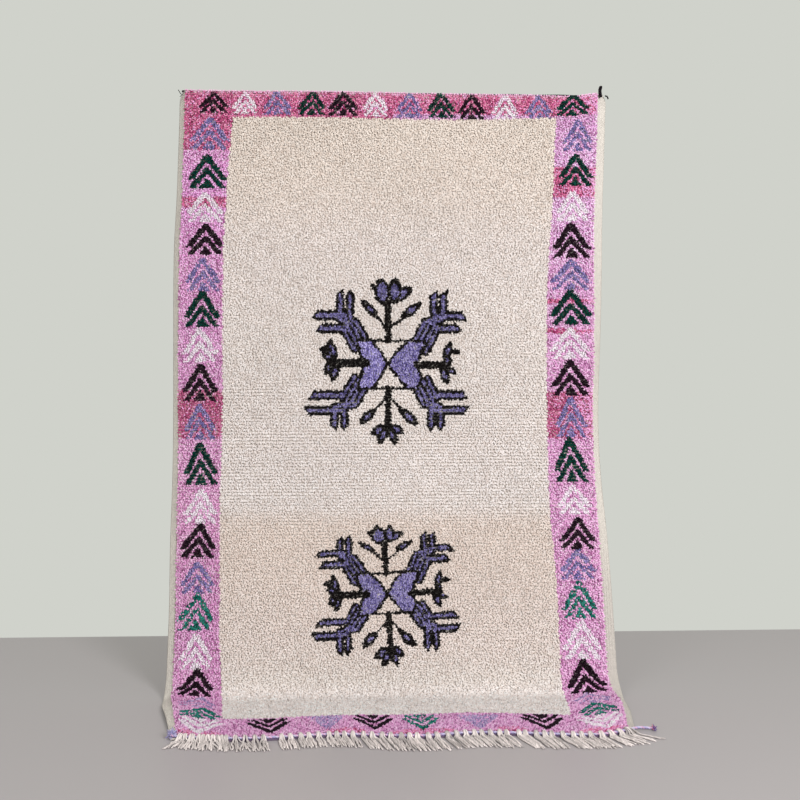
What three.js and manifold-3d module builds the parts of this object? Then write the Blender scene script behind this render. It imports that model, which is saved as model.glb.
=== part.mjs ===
// A hand-knotted azilal rug that hangs from its top edge. Its lower end bends forward and lies on the floor,
// pile up, with a fringe of warp ends in front. Millimetres. +Z is up, +X runs to the right, and the pile faces
// -Y while it hangs. The origin is the middle of the top edge, on the back of the cloth.
import * as THREE from 'three';
import { mergeVertices } from 'three/addons/utils/BufferGeometryUtils.js';
import Module from 'manifold-3d';

const wasm = await Module();
wasm.setup();

// Cloth thickness
const GROUND = 4;
const PILE = 12;
const THICK = GROUND + PILE;
const EDGE_PILE = 6; // pile height right at a cut edge, where the tufts splay
const EDGE_ROUND = 13; // width over which the pile reaches its full height
const STRIP_THICK = 3; // flat-woven selvedge

// Lengths along the cloth, from the top edge
const BEND_START = 1995;
const BEND_END = 2135;
const FOOT = 2482; // end of the pile
const WEB = 14; // bare ground past the pile, under the twined cord
const LENGTH = FOOT + WEB;
const HANG_LEAN = 15.5; // degrees from plumb just above the bend
const GAP = 0.3; // between pieces that touch

// How far the cloth leans forward from plumb: 0 hangs straight down, 90 lies on the floor
const LEAN = [
  { along: 0, degrees: 3 },
  { along: 500, degrees: 2.5 },
  { along: 950, degrees: 3.5 },
  { along: 1250, degrees: 9 },
  { along: 1500, degrees: 15 },
  { along: BEND_START, degrees: HANG_LEAN },
];

// The uneven outline: where the pile ends at the left and right
const OUTLINE = [
  { along: 0, left: -720, right: 726 },
  { along: 200, left: -725, right: 719 },
  { along: 380, left: -731, right: 711 },
  { along: 560, left: -740, right: 708 },
  { along: 900, left: -743, right: 708 },
  { along: 1080, left: -742, right: 703 },
  { along: 1255, left: -739, right: 701 },
  { along: 1565, left: -735, right: 705 },
  { along: 1765, left: -730, right: 707 },
  { along: 2035, left: -728, right: 708 },
  { along: 2135, left: -719, right: 711 },
  { along: 2280, left: -693, right: 704 },
  { along: 2380, left: -674, right: 690 },
  { along: LENGTH, left: -652, right: 672 },
];

// The selvedges: width of each strip, and how far it is turned back behind the pile, in degrees
const SELVEDGES = [
  { along: 0, wideLeft: 9, turnLeft: 48, wideRight: 24, turnRight: 30 },
  { along: 24, wideLeft: 29, turnLeft: 48, wideRight: 38, turnRight: 30 },
  { along: 80, wideLeft: 31, turnLeft: 48, wideRight: 38, turnRight: 30 },
  { along: 560, wideLeft: 33, turnLeft: 49, wideRight: 41, turnRight: 32 },
  { along: 1000, wideLeft: 31, turnLeft: 50, wideRight: 39, turnRight: 48 },
  { along: 1350, wideLeft: 32, turnLeft: 46, wideRight: 34, turnRight: 36 },
  { along: 1600, wideLeft: 33, turnLeft: 41, wideRight: 34, turnRight: 12 },
  { along: 1900, wideLeft: 33, turnLeft: 40, wideRight: 35, turnRight: 2 },
  { along: 2060, wideLeft: 34, turnLeft: 36, wideRight: 35, turnRight: 4 },
  { along: 2160, wideLeft: 33, turnLeft: 22, wideRight: 29, turnRight: 26 },
  { along: 2300, wideLeft: 26, turnLeft: 26, wideRight: 26, turnRight: 24 },
  { along: LENGTH, wideLeft: 17, turnLeft: 6, wideRight: 23, turnRight: 4 },
];

// How far the long edges stay off the floor where the cloth lies
const LIFT = [
  { along: BEND_START, left: 0, right: 0 },
  { along: BEND_END, left: 16, right: 14 },
  { along: 2260, left: 22, right: 14 },
  { along: 2400, left: 13, right: 8 },
  { along: FOOT, left: 3, right: 2.5 },
];
const LIFT_REACH = 150; // how far in from the edge the cloth is raised

// Columns across the pile, and how many at the right are halved
const FIELD_COLUMNS = 30;
const FINE_COLUMNS = 3;

// The foot is uneven: how far the end of the pile falls short of a straight line
const FOOT_WAVE = [
  { across: -660, short: 32 },
  { across: -440, short: 14 },
  { across: -185, short: 38 },
  { across: 60, short: 14 },
  { across: 200, short: 35 },
  { across: 330, short: 28 },
  { across: 490, short: 7 },
  { across: 590, short: 5 },
  { across: 650, short: 23 },
  { across: 700, short: 46 },
];

// The top edge dips between its fixings
const TOP_SAG = [
  { across: -760, up: 2 },
  { across: -560, up: -1 },
  { across: -200, up: 1 },
  { across: 150, up: -2 },
  { across: 520, up: -5 },
  { across: 640, up: -6 },
  { across: 705, up: 3 },
  { across: 770, up: 8 },
];
const SAG_FADE = 260; // length over which the sag dies out

// Soft hollows and swells of the hanging cloth, as depths in the direction of the pile
const SWELLS = [
  { across: -430, along: 420, wide: 260, long: 420, deep: 5 },
  { across: 60, along: 250, wide: 210, long: 300, deep: -4 },
  { across: 470, along: 620, wide: 230, long: 480, deep: 5 },
  { across: -150, along: 1180, wide: 330, long: 260, deep: -4 },
  { across: 690, along: 1180, wide: 150, long: 260, deep: -9 },
  { across: 380, along: 1560, wide: 260, long: 240, deep: 4 },
  { across: -560, along: 1600, wide: 240, long: 300, deep: 5 },
];

// Fringe
const LOCKS = 50;
const STRANDS = 3;
const STRAND_WIDE = 5;
const STRAND_HIGH = 4.5;
const ARCH_PITCH = 5.7; // between the strands of a lock where they pass over the cord
const FLOOR_PITCH = 8; // and where they lie
const STRIP_NEAR = 1;
const STRIP_FAR = 4.9;
const STRIP_LOW = GROUND + 0.8;
const STRIP_TOP = 9.6;
const LOCK_GAP = 10; // the lock left out, where the fringe parts
const LOCK_LEAN = [
  { across: -660, degrees: -34 },
  { across: -610, degrees: 4 },
  { across: -540, degrees: 13 },
  { across: -330, degrees: 11 },
  { across: 0, degrees: 14 },
  { across: 300, degrees: 17 },
  { across: 540, degrees: 20 },
  { across: 620, degrees: 30 },
  { across: 680, degrees: 50 },
];
const LOCK_REACH = [
  { across: -660, out: 70 },
  { across: -590, out: 86 },
  { across: -420, out: 94 },
  { across: -200, out: 92 },
  { across: -75, out: 114 },
  { across: 70, out: 113 },
  { across: 250, out: 111 },
  { across: 370, out: 115 },
  { across: 525, out: 105 },
  { across: 600, out: 96 },
  { across: 660, out: 78 },
];

// The last lock at the right spreads like a fan: turn from strand to strand in degrees, and its loss of reach
const LAST_FAN = 17;
const LAST_SHORTER = 15;

// Cords
const FOOT_CORD = 4.5; // radius
const FOOT_CORD_OUT = STRIP_FAR + 0.7 + FOOT_CORD;
const FOOT_CORD_UP = GROUND + GAP + FOOT_CORD;
// Its loose ends: how far past the pile, how far back, and how far down, as a share of the way to the cloth
const CORD_LEFT_END = [
  { beyond: 36, back: 18, down: 0.4 },
  { beyond: 18, back: 6, down: 0 },
];
const CORD_RIGHT_END = [
  { beyond: 24, back: 12, down: 0 },
  { beyond: 50, back: 22, down: 0.5 },
  { beyond: 84, back: 20, down: 1 },
];
const TOP_CORD = 3;
const TOP_CORD_UP = 0.6;
const TOP_CORD_BACK = TOP_CORD + 0.4; // it lies along the edge, behind the pile
const TOP_CORD_BEND = [
  [-9.5, -10, -9],
  [-11, -4.5, 2],
  [-6, 2.4, 7.6],
];
const TAIL_SIDES = 6;

// Loose ends of the top cord: places from the cloth's corner, and the radius at the near and far end
const TAILS = [
  { name: 'tail_left_up', near: 1.9, far: 1.2, way: [[-9, -8, -14], [-14, -8, -16], [-20, -8, -9], [-25, -8, 0]] },
  { name: 'tail_left_out', near: 1.5, far: 1, way: [[-11, -8, -20.5], [-16, -8, -21], [-20, -8, -24]] },
  { name: 'tail_right', near: 6, far: 4.5, way: [[11, -10, -13], [8, -10, 4], [8, -10, 12], [12, -10, 24]] },
  { name: 'tail_right_tuft', near: 3.6, far: 2.2, way: [[27, -5, -8], [35, -5, -10], [38.5, -5, -19]] },
];

const radians = THREE.MathUtils.degToRad;

/** Value of a column at a place in a table, on a smooth curve through its rows. */
function look(table, key, place, column) {
  const last = table.length - 1;
  if (place <= table[0][key]) return table[0][column];
  if (place >= table[last][key]) return table[last][column];
  const i = table.findIndex((row) => row[key] > place) - 1;
  const slope = (from, to) => {
    const a = table[Math.max(0, from)];
    const b = table[Math.min(last, to)];
    return (b[column] - a[column]) / (b[key] - a[key]);
  };
  const span = table[i + 1][key] - table[i][key];
  const t = (place - table[i][key]) / span;
  const rise = table[i + 1][column] - table[i][column];
  const away = span * slope(i - 1, i + 1) - rise;
  const home = span * slope(i, i + 2) - rise;
  return table[i][column] + t * rise + t * (1 - t) * ((1 - t) * away - t * home);
}

/** Lean of the cloth from plumb, in radians. The bend is a round arc. */
function leanAt(along) {
  if (along <= BEND_START) return radians(look(LEAN, 'along', along, 'degrees'));
  const t = Math.min(1, (along - BEND_START) / (BEND_END - BEND_START));
  return radians(THREE.MathUtils.lerp(HANG_LEAN, 90, t));
}

// The line down the back of the cloth, walked in small steps
const STEP = 1;
const walk = [{ out: 0, up: 0 }];
for (let along = STEP; along <= LENGTH + STEP; along += STEP) {
  const from = walk[walk.length - 1];
  const lean = leanAt(along - STEP / 2);
  walk.push({ out: from.out + STEP * Math.sin(lean), up: from.up - STEP * Math.cos(lean) });
}
const FLOOR = walk[walk.length - 1].up;

/** Place on the back of the cloth: how far out from the top edge, and how high. */
function backAt(along) {
  const place = THREE.MathUtils.clamp(along / STEP, 0, walk.length - 1.001);
  const i = Math.floor(place);
  const t = place - i;
  return {
    out: THREE.MathUtils.lerp(walk[i].out, walk[i + 1].out, t),
    up: THREE.MathUtils.lerp(walk[i].up, walk[i + 1].up, t),
  };
}

/** How far the cloth stands off its plain line, by its swells and by the raised edges where it lies. */
function standOff(across, along) {
  let off = 0;
  for (const s of SWELLS) {
    const reach = ((across - s.across) / s.wide) ** 2 + ((along - s.along) / s.long) ** 2;
    off += s.deep * Math.exp(-reach);
  }
  off *= 1 - THREE.MathUtils.smoothstep(along, BEND_START - 160, BEND_START);
  const fromLeft = across - look(OUTLINE, 'along', along, 'left');
  const fromRight = look(OUTLINE, 'along', along, 'right') - across;
  const left = Math.max(0, 1 - Math.max(0, fromLeft) / LIFT_REACH) ** 2;
  const right = Math.max(0, 1 - Math.max(0, fromRight) / LIFT_REACH) ** 2;
  if (along > BEND_START) {
    off += left * look(LIFT, 'along', along, 'left') + right * look(LIFT, 'along', along, 'right');
  }
  return off;
}

/** Point of the cloth: across it, along it, and high above its back. */
function clothPoint(across, along, high) {
  const onFloor = THREE.MathUtils.smoothstep(along, BEND_END, FOOT);
  const short = look(FOOT_WAVE, 'across', across, 'short') * onFloor;
  const back = backAt(along - short);
  const lean = leanAt(along);
  const off = high + standOff(across, along);
  const sag = look(TOP_SAG, 'across', across, 'up') * (1 - THREE.MathUtils.smoothstep(along, 0, SAG_FADE));
  return new THREE.Vector3(
    across,
    -(back.out + off * Math.cos(lean)),
    back.up + off * Math.sin(lean) + sag,
  );
}

const leftCorner = clothPoint(look(OUTLINE, 'along', 0, 'left'), 0, 0);
const rightCorner = clothPoint(look(OUTLINE, 'along', 0, 'right'), 0, 0);

/** Closed geometry with only its position, and its corners shared. */
function welded(geometry) {
  geometry.deleteAttribute('uv');
  geometry.deleteAttribute('normal');
  return mergeVertices(geometry, 1e-4);
}

/** Moves every vertex of a geometry by a function of its old place. */
function reshaped(geometry, place) {
  const position = geometry.getAttribute('position');
  const at = new THREE.Vector3();
  for (let i = 0; i < position.count; i += 1) {
    at.fromBufferAttribute(position, i);
    const to = place(at);
    position.setXYZ(i, to.x, to.y, to.z);
  }
  geometry.computeVertexNormals();
  return geometry;
}

/** Joins a list of closed geometries into one solid. */
function joined(geometries) {
  const solids = geometries.map((geometry) => {
    const mesh = new wasm.Mesh({
      numProp: 3,
      vertProperties: new Float32Array(geometry.getAttribute('position').array),
      triVerts: new Uint32Array(geometry.getIndex().array),
    });
    return new wasm.Manifold(mesh);
  });
  const mesh = wasm.Manifold.union(solids).getMesh();
  const geometry = new THREE.BufferGeometry();
  geometry.setAttribute('position', new THREE.BufferAttribute(new Float32Array(mesh.vertProperties), 3));
  geometry.setIndex(new THREE.BufferAttribute(new Uint32Array(mesh.triVerts), 1));
  geometry.computeVertexNormals();
  return geometry;
}

/** Rows of the cloth down its length: where each lies, and how high the pile stands on it. */
function clothRows() {
  const rows = [
    { along: 0, pile: EDGE_PILE },
    { along: EDGE_ROUND, pile: PILE },
  ];
  const add = (from, to, count) => {
    for (let i = 1; i <= count; i += 1) rows.push({ along: from + ((to - from) * i) / count, pile: PILE });
  };
  add(EDGE_ROUND, BEND_START, 24);
  add(BEND_START, BEND_END, 11);
  add(BEND_END, FOOT - EDGE_ROUND, 6);
  rows.push({ along: FOOT, pile: EDGE_PILE });
  rows.push({ along: FOOT + GAP, pile: 0 });
  rows.push({ along: LENGTH, pile: 0 });
  return rows;
}

/** Shares of the way across the pile at which the cloth has a column, closer where the foot curves. */
function fieldShares() {
  const steps = [0];
  while (steps[steps.length - 1] < FIELD_COLUMNS) {
    const last = steps[steps.length - 1];
    steps.push(last + (last >= FIELD_COLUMNS - FINE_COLUMNS ? 0.5 : 1));
  }
  return steps.map((step) => step / FIELD_COLUMNS);
}

/** Columns over the cloth's width: share of the way across the pile, inset from its edge, and pile height. */
function clothColumns() {
  const columns = [
    { strip: -1 },
    { share: 0, inset: 0, pile: 0 },
    { share: 0, inset: 1, pile: EDGE_PILE / PILE },
    { share: 0, inset: EDGE_ROUND, pile: 1 },
  ];
  for (const share of fieldShares().slice(1, -1)) columns.push({ share, inset: 0, pile: 1 });
  columns.push({ share: 1, inset: -EDGE_ROUND, pile: 1 });
  columns.push({ share: 1, inset: -1, pile: EDGE_PILE / PILE });
  columns.push({ share: 1, inset: 0, pile: 0 });
  columns.push({ strip: 1 });
  return columns;
}

/** Outer edge of a selvedge strip, on its face or its back. */
function stripEdge(side, along, face) {
  const left = side < 0;
  const pileEdge = look(OUTLINE, 'along', along, left ? 'left' : 'right');
  const wide = look(SELVEDGES, 'along', along, left ? 'wideLeft' : 'wideRight');
  const turn = radians(look(SELVEDGES, 'along', along, left ? 'turnLeft' : 'turnRight'));
  const thick = face ? STRIP_THICK : 0;
  const across = pileEdge + side * (wide * Math.cos(turn) + thick * Math.sin(turn));
  const high = -wide * Math.sin(turn) + thick * Math.cos(turn);
  const root = clothPoint(pileEdge, along, high);
  return new THREE.Vector3(across, root.y, root.z);
}

/** The cloth: a block of rows and columns laid on its hanging form. */
function rugGeometry() {
  const rows = clothRows();
  const columns = clothColumns();
  const across = columns.length - 1;
  const down = rows.length - 1;
  const block = welded(new THREE.BoxGeometry(across, down, 1, across, down, 1));
  return reshaped(block, (at) => {
    const column = columns[Math.round(at.x + across / 2)];
    const row = rows[Math.round(down / 2 - at.y)];
    const face = at.z > 0;
    if (column.strip) return stripEdge(column.strip, row.along, face);
    const left = look(OUTLINE, 'along', row.along, 'left');
    const right = look(OUTLINE, 'along', row.along, 'right');
    const place = THREE.MathUtils.lerp(left, right, column.share) + column.inset;
    const ground = column.share % 1 === 0 && column.inset === 0 ? STRIP_THICK : GROUND;
    return clothPoint(place, row.along, face ? ground + column.pile * row.pile : 0);
  });
}

/** Point in front of the foot: across, square out from the end of the pile, and up from the cloth's back. */
function footPoint(across, out, up) {
  const edge = clothPoint(across, FOOT, 0);
  const along = clothPoint(across + 1, FOOT, 0).sub(edge);
  const away = new THREE.Vector3(along.y, -along.x, 0).normalize();
  edge.addScaledVector(away, out);
  edge.z += up;
  return edge;
}

/** The narrow strip that holds the roots of the fringe. */
function rootStrip() {
  const shares = fieldShares();
  const steps = shares.length - 1;
  const left = look(OUTLINE, 'along', FOOT, 'left');
  const right = look(OUTLINE, 'along', FOOT, 'right');
  const bar = welded(new THREE.BoxGeometry(1, 1, 1, steps, 1, 1));
  return reshaped(bar, (at) => {
    const share = shares[Math.round((at.x + 0.5) * steps)];
    const across = THREE.MathUtils.clamp(THREE.MathUtils.lerp(left, right, share), left + 2, right - 2);
    return footPoint(across, at.z > 0 ? STRIP_FAR : STRIP_NEAR, at.y > 0 ? STRIP_TOP : STRIP_LOW);
  });
}

/** Underside of a strand: out of the strip, over the twined cord and down to the floor. */
function strandLine(across, spread, lean, reach) {
  const over = FOOT_CORD + 1.9;
  const arch = (degrees) => ({
    out: FOOT_CORD_OUT + over * Math.cos(radians(degrees)),
    up: FOOT_CORD_UP + over * Math.sin(radians(degrees)),
  });
  const high = [{ out: 2.6, up: 7.4 }, arch(128), arch(85), arch(38), { out: 19, up: 6.5 }];
  const points = high.map((p) => footPoint(across + spread * ARCH_PITCH, p.out, p.up));
  const lay = 28;
  const bend = lay * 0.6;
  const root = footPoint(across, bend, 0);
  for (const out of [lay, reach]) {
    const side = spread * FLOOR_PITCH + Math.tan(radians(lean)) * (out - bend);
    points.push(new THREE.Vector3(root.x + side, root.y - out + bend, FLOOR));
  }
  return points;
}

/** One strand: a three-sided bar with its flat side down, tapered at the tip. */
function strandGeometry(line) {
  const half = STRAND_WIDE / 2;
  const outline = new THREE.Shape([
    new THREE.Vector2(-half, 0),
    new THREE.Vector2(half, 0),
    new THREE.Vector2(0, STRAND_HIGH),
  ]);
  const steps = line.length - 1;
  const bar = welded(new THREE.ExtrudeGeometry(outline, { depth: steps, steps, bevelEnabled: false }));
  return reshaped(bar, (at) => {
    const i = Math.round(at.z);
    const before = line[Math.max(0, i - 1)];
    const after = line[Math.min(steps, i + 1)];
    const way = after.clone().sub(before).normalize();
    const flat = i === 0 || i >= steps - 1;
    const side = new THREE.Vector3(-way.y, way.x, 0).normalize().negate();
    const up = flat ? new THREE.Vector3(0, 0, 1) : new THREE.Vector3().crossVectors(way, side).negate();
    const taper = i === steps ? 0.6 : 1;
    return line[i].clone().addScaledVector(side, -at.x * taper).addScaledVector(up, at.y * taper);
  });
}

/** Fringe: locks of warp ends, fused at their roots in one strip. */
function fringeGeometry() {
  const left = look(OUTLINE, 'along', FOOT, 'left') + 14;
  const right = look(OUTLINE, 'along', FOOT, 'right') - 14;
  const pieces = [rootStrip()];
  for (let i = 0; i < LOCKS; i += 1) {
    if (i === LOCK_GAP) continue;
    const across = THREE.MathUtils.lerp(left, right, i / (LOCKS - 1));
    const sway = 1.4 * Math.sin(i * 2.3);
    const fan = i === LOCKS - 1 ? 1 : 0;
    for (let k = 0; k < STRANDS; k += 1) {
      const spread = k - (STRANDS - 1) / 2;
      const lean = look(LOCK_LEAN, 'across', across, 'degrees') + sway + fan * LAST_FAN * spread;
      const uneven = 9 * Math.sin(i * 1.7 + k * 2.1) - fan * LAST_SHORTER * spread;
      const reach = look(LOCK_REACH, 'across', across, 'out') + uneven;
      pieces.push(strandGeometry(strandLine(across, spread, lean, reach)));
    }
  }
  return joined(pieces);
}

/** Round bar along a list of points, with its radius at the near and far end. */
function cordGeometry(points, radius, steps, sides, farRadius = radius) {
  const section = new THREE.Shape();
  for (let i = 0; i < sides; i += 1) {
    const turn = (2 * Math.PI * i) / sides;
    const corner = [radius * Math.cos(turn), radius * Math.sin(turn)];
    if (i === 0) section.moveTo(...corner);
    else section.lineTo(...corner);
  }
  const path = new THREE.CatmullRomCurve3(points);
  const bar = new THREE.ExtrudeGeometry(section, { steps, extrudePath: path, bevelEnabled: false });
  if (farRadius === radius) return welded(bar);
  const end = points[points.length - 1];
  const length = path.getLength();
  return reshaped(welded(bar), (at) => {
    const left = Math.min(1, at.distanceTo(end) / length);
    const share = THREE.MathUtils.lerp(farRadius / radius, 1, left);
    const near = path.getPointAt(THREE.MathUtils.clamp(1 - left, 0, 1));
    return near.add(at.clone().sub(near).multiplyScalar(share));
  });
}

/** Twined cord over the bare ground at the foot, with a loose end at each side. */
function footCordGeometry() {
  const left = look(OUTLINE, 'along', FOOT, 'left');
  const right = look(OUTLINE, 'along', FOOT, 'right');
  const fall = FOOT_CORD_UP - FOOT_CORD - GAP;
  const past = (edge, side, end) => {
    const point = footPoint(edge, FOOT_CORD_OUT - end.back, FOOT_CORD_UP - end.down * fall);
    point.x += side * end.beyond;
    return point;
  };
  const spans = 40;
  const points = CORD_LEFT_END.map((end) => past(left, -1, end));
  for (let i = 0; i <= spans; i += 1) {
    const across = THREE.MathUtils.lerp(left, right, i / spans);
    points.push(footPoint(across, FOOT_CORD_OUT, FOOT_CORD_UP));
  }
  points.push(...CORD_RIGHT_END.map((end) => past(right, 1, end)));
  return cordGeometry(points, FOOT_CORD, 96, 6);
}

/** Black twined cord along the top edge, straighter than the cloth. It bends down over the left corner. */
function topCordGeometry() {
  const left = look(OUTLINE, 'along', 0, 'left') + 12;
  const right = look(OUTLINE, 'along', 0, 'right') - 3;
  const spans = 24;
  const points = TOP_CORD_BEND.map(([x, y, z]) => leftCorner.clone().add(new THREE.Vector3(x, y, z)));
  for (let i = 0; i <= spans; i += 1) {
    const across = THREE.MathUtils.lerp(left, right, i / spans);
    const point = clothPoint(across, 0, 0);
    point.z = Math.max(point.z, 0) + TOP_CORD_UP + 0.7 * (1 + Math.sin(i * 2.4));
    point.y += TOP_CORD_BACK + 0.5 * (1 + Math.sin(i * 1.3));
    points.push(point);
  }
  return cordGeometry(points, TOP_CORD, 60, 6);
}

/** Loose end of the top cord, from a root on the top edge. */
function tailGeometry(root, way, radius, farRadius) {
  const points = way.map(([x, y, z]) => root.clone().add(new THREE.Vector3(x, y, z)));
  return cordGeometry(points, radius, 5, TAIL_SIDES, farRadius);
}

const wool = (colour) => new THREE.MeshStandardMaterial({ color: colour, roughness: 0.95, metalness: 0 });
const PINK = 0xd391bd;
const CREAM = 0xd9cfc0;
const LILAC = 0x7f77ad;
const BLACK = 0x17131a;

const rug = new THREE.Group();

/** Adds one named piece. */
function add(name, geometry, colour) {
  const piece = new THREE.Mesh(geometry, wool(colour));
  piece.name = name;
  rug.add(piece);
}

add('rug', rugGeometry(), PINK);
add('fringe', fringeGeometry(), CREAM);
add('foot_cord', footCordGeometry(), LILAC);
add('top_cord', topCordGeometry(), BLACK);
for (const tail of TAILS) {
  const root = tail.name.includes('left') ? leftCorner : rightCorner;
  add(tail.name, tailGeometry(root, tail.way, tail.near, tail.far), BLACK);
}

export default rug;
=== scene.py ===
"""Looks of a hand-knotted azilal rug that hangs from its top edge, with its foot and fringe on the floor.

Metres. +Z is up, +X runs across the rug to the right, and the pile faces -Y while it hangs. The origin
is the middle of the top edge, on the back of the cloth. "Across" and "along" are places on the flat cloth:
across from its middle line, and along from its top edge.
"""

import logging
import math
from dataclasses import dataclass, field
from enum import Enum

import bpy
import numpy as np
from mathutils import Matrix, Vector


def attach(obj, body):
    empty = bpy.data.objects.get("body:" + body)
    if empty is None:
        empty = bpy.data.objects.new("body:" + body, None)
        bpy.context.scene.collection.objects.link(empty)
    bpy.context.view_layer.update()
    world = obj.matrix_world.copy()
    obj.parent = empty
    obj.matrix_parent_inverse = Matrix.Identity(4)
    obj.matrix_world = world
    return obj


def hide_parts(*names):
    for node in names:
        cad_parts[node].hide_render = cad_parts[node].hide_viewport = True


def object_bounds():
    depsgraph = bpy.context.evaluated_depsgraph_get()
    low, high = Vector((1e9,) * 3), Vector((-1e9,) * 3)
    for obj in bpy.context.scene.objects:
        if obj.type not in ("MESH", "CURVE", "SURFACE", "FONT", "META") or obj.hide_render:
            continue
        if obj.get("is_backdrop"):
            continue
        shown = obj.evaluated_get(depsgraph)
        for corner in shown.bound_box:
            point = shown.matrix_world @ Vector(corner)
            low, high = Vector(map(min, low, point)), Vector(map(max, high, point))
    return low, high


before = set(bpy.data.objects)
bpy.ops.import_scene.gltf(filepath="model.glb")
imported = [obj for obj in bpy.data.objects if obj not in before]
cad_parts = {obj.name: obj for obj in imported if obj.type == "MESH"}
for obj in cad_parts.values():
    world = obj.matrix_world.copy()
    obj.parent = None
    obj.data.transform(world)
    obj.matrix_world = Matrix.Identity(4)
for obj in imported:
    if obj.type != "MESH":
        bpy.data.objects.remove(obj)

logging.basicConfig(level=logging.INFO, format="%(message)s")
log = logging.getLogger("rug")

BODY = "root"
MM = 0.001
SEED = 20
KNOT_ACROSS = 5.6 * MM
KNOT_ALONG = 5.6 * MM
TONE_SPREAD = 0.62


def linear(red: float, green: float, blue: float) -> np.ndarray:
    """Linear colour of a display colour.

    Args:
        red, green, blue: display values from 0 to 255.

    Returns:
        Three linear values from 0 to 1.
    """
    share = np.array([red, green, blue], float) / 255.0
    return np.where(share <= 0.04045, share / 12.92, ((share + 0.055) / 1.055) ** 2.4)


def smooth(value: np.ndarray, low: float, high: float) -> np.ndarray:
    """Smooth rise from 0 at low to 1 at high."""
    share = np.clip((value - low) / (high - low), 0.0, 1.0)
    return share * share * (3.0 - 2.0 * share)


@dataclass(frozen=True)
class Column:
    """One column of a short table, read on a smooth curve through its rows.

    Attributes:
        places: where each row stands.
        values: the value in each row.
    """

    places: tuple[float, ...]
    values: tuple[float, ...]

    def at(self, place: np.ndarray | float) -> np.ndarray:
        """Reads the column.

        Args:
            place: one or many places.

        Returns:
            The value at each place. Past the first and last row it stays as it is there.
        """
        rows, column = np.array(self.places), np.array(self.values)
        last = len(rows) - 1
        where = np.clip(np.asarray(place, float), rows[0], rows[last])
        i = np.clip(np.searchsorted(rows, where, side="right") - 1, 0, last - 1)

        def slope(start: np.ndarray, end: np.ndarray) -> np.ndarray:
            """Slope between two rows."""
            a, b = np.maximum(start, 0), np.minimum(end, last)
            return (column[b] - column[a]) / (rows[b] - rows[a])

        span = rows[i + 1] - rows[i]
        t = (where - rows[i]) / span
        rise = column[i + 1] - column[i]
        away = span * slope(i - 1, i + 1) - rise
        home = span * slope(i, i + 2) - rise
        return column[i] + t * rise + t * (1 - t) * ((1 - t) * away - t * home)


def tints(rows: tuple, columns: tuple, along: np.ndarray) -> np.ndarray:
    """Factors on a colour that change down the rug.

    Args:
        rows: where the rows stand along the rug.
        columns: the factors on red, green and blue in each row.
        along: places along the rug.

    Returns:
        One row of three factors for each place.
    """
    return np.stack([Column(rows, column).at(along) for column in columns], axis=-1)


@dataclass(frozen=True)
class Swell:
    """A soft hollow or swell of the hanging cloth, as a depth in the direction of the pile."""

    across: float
    along: float
    wide: float
    long: float
    deep: float


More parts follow.
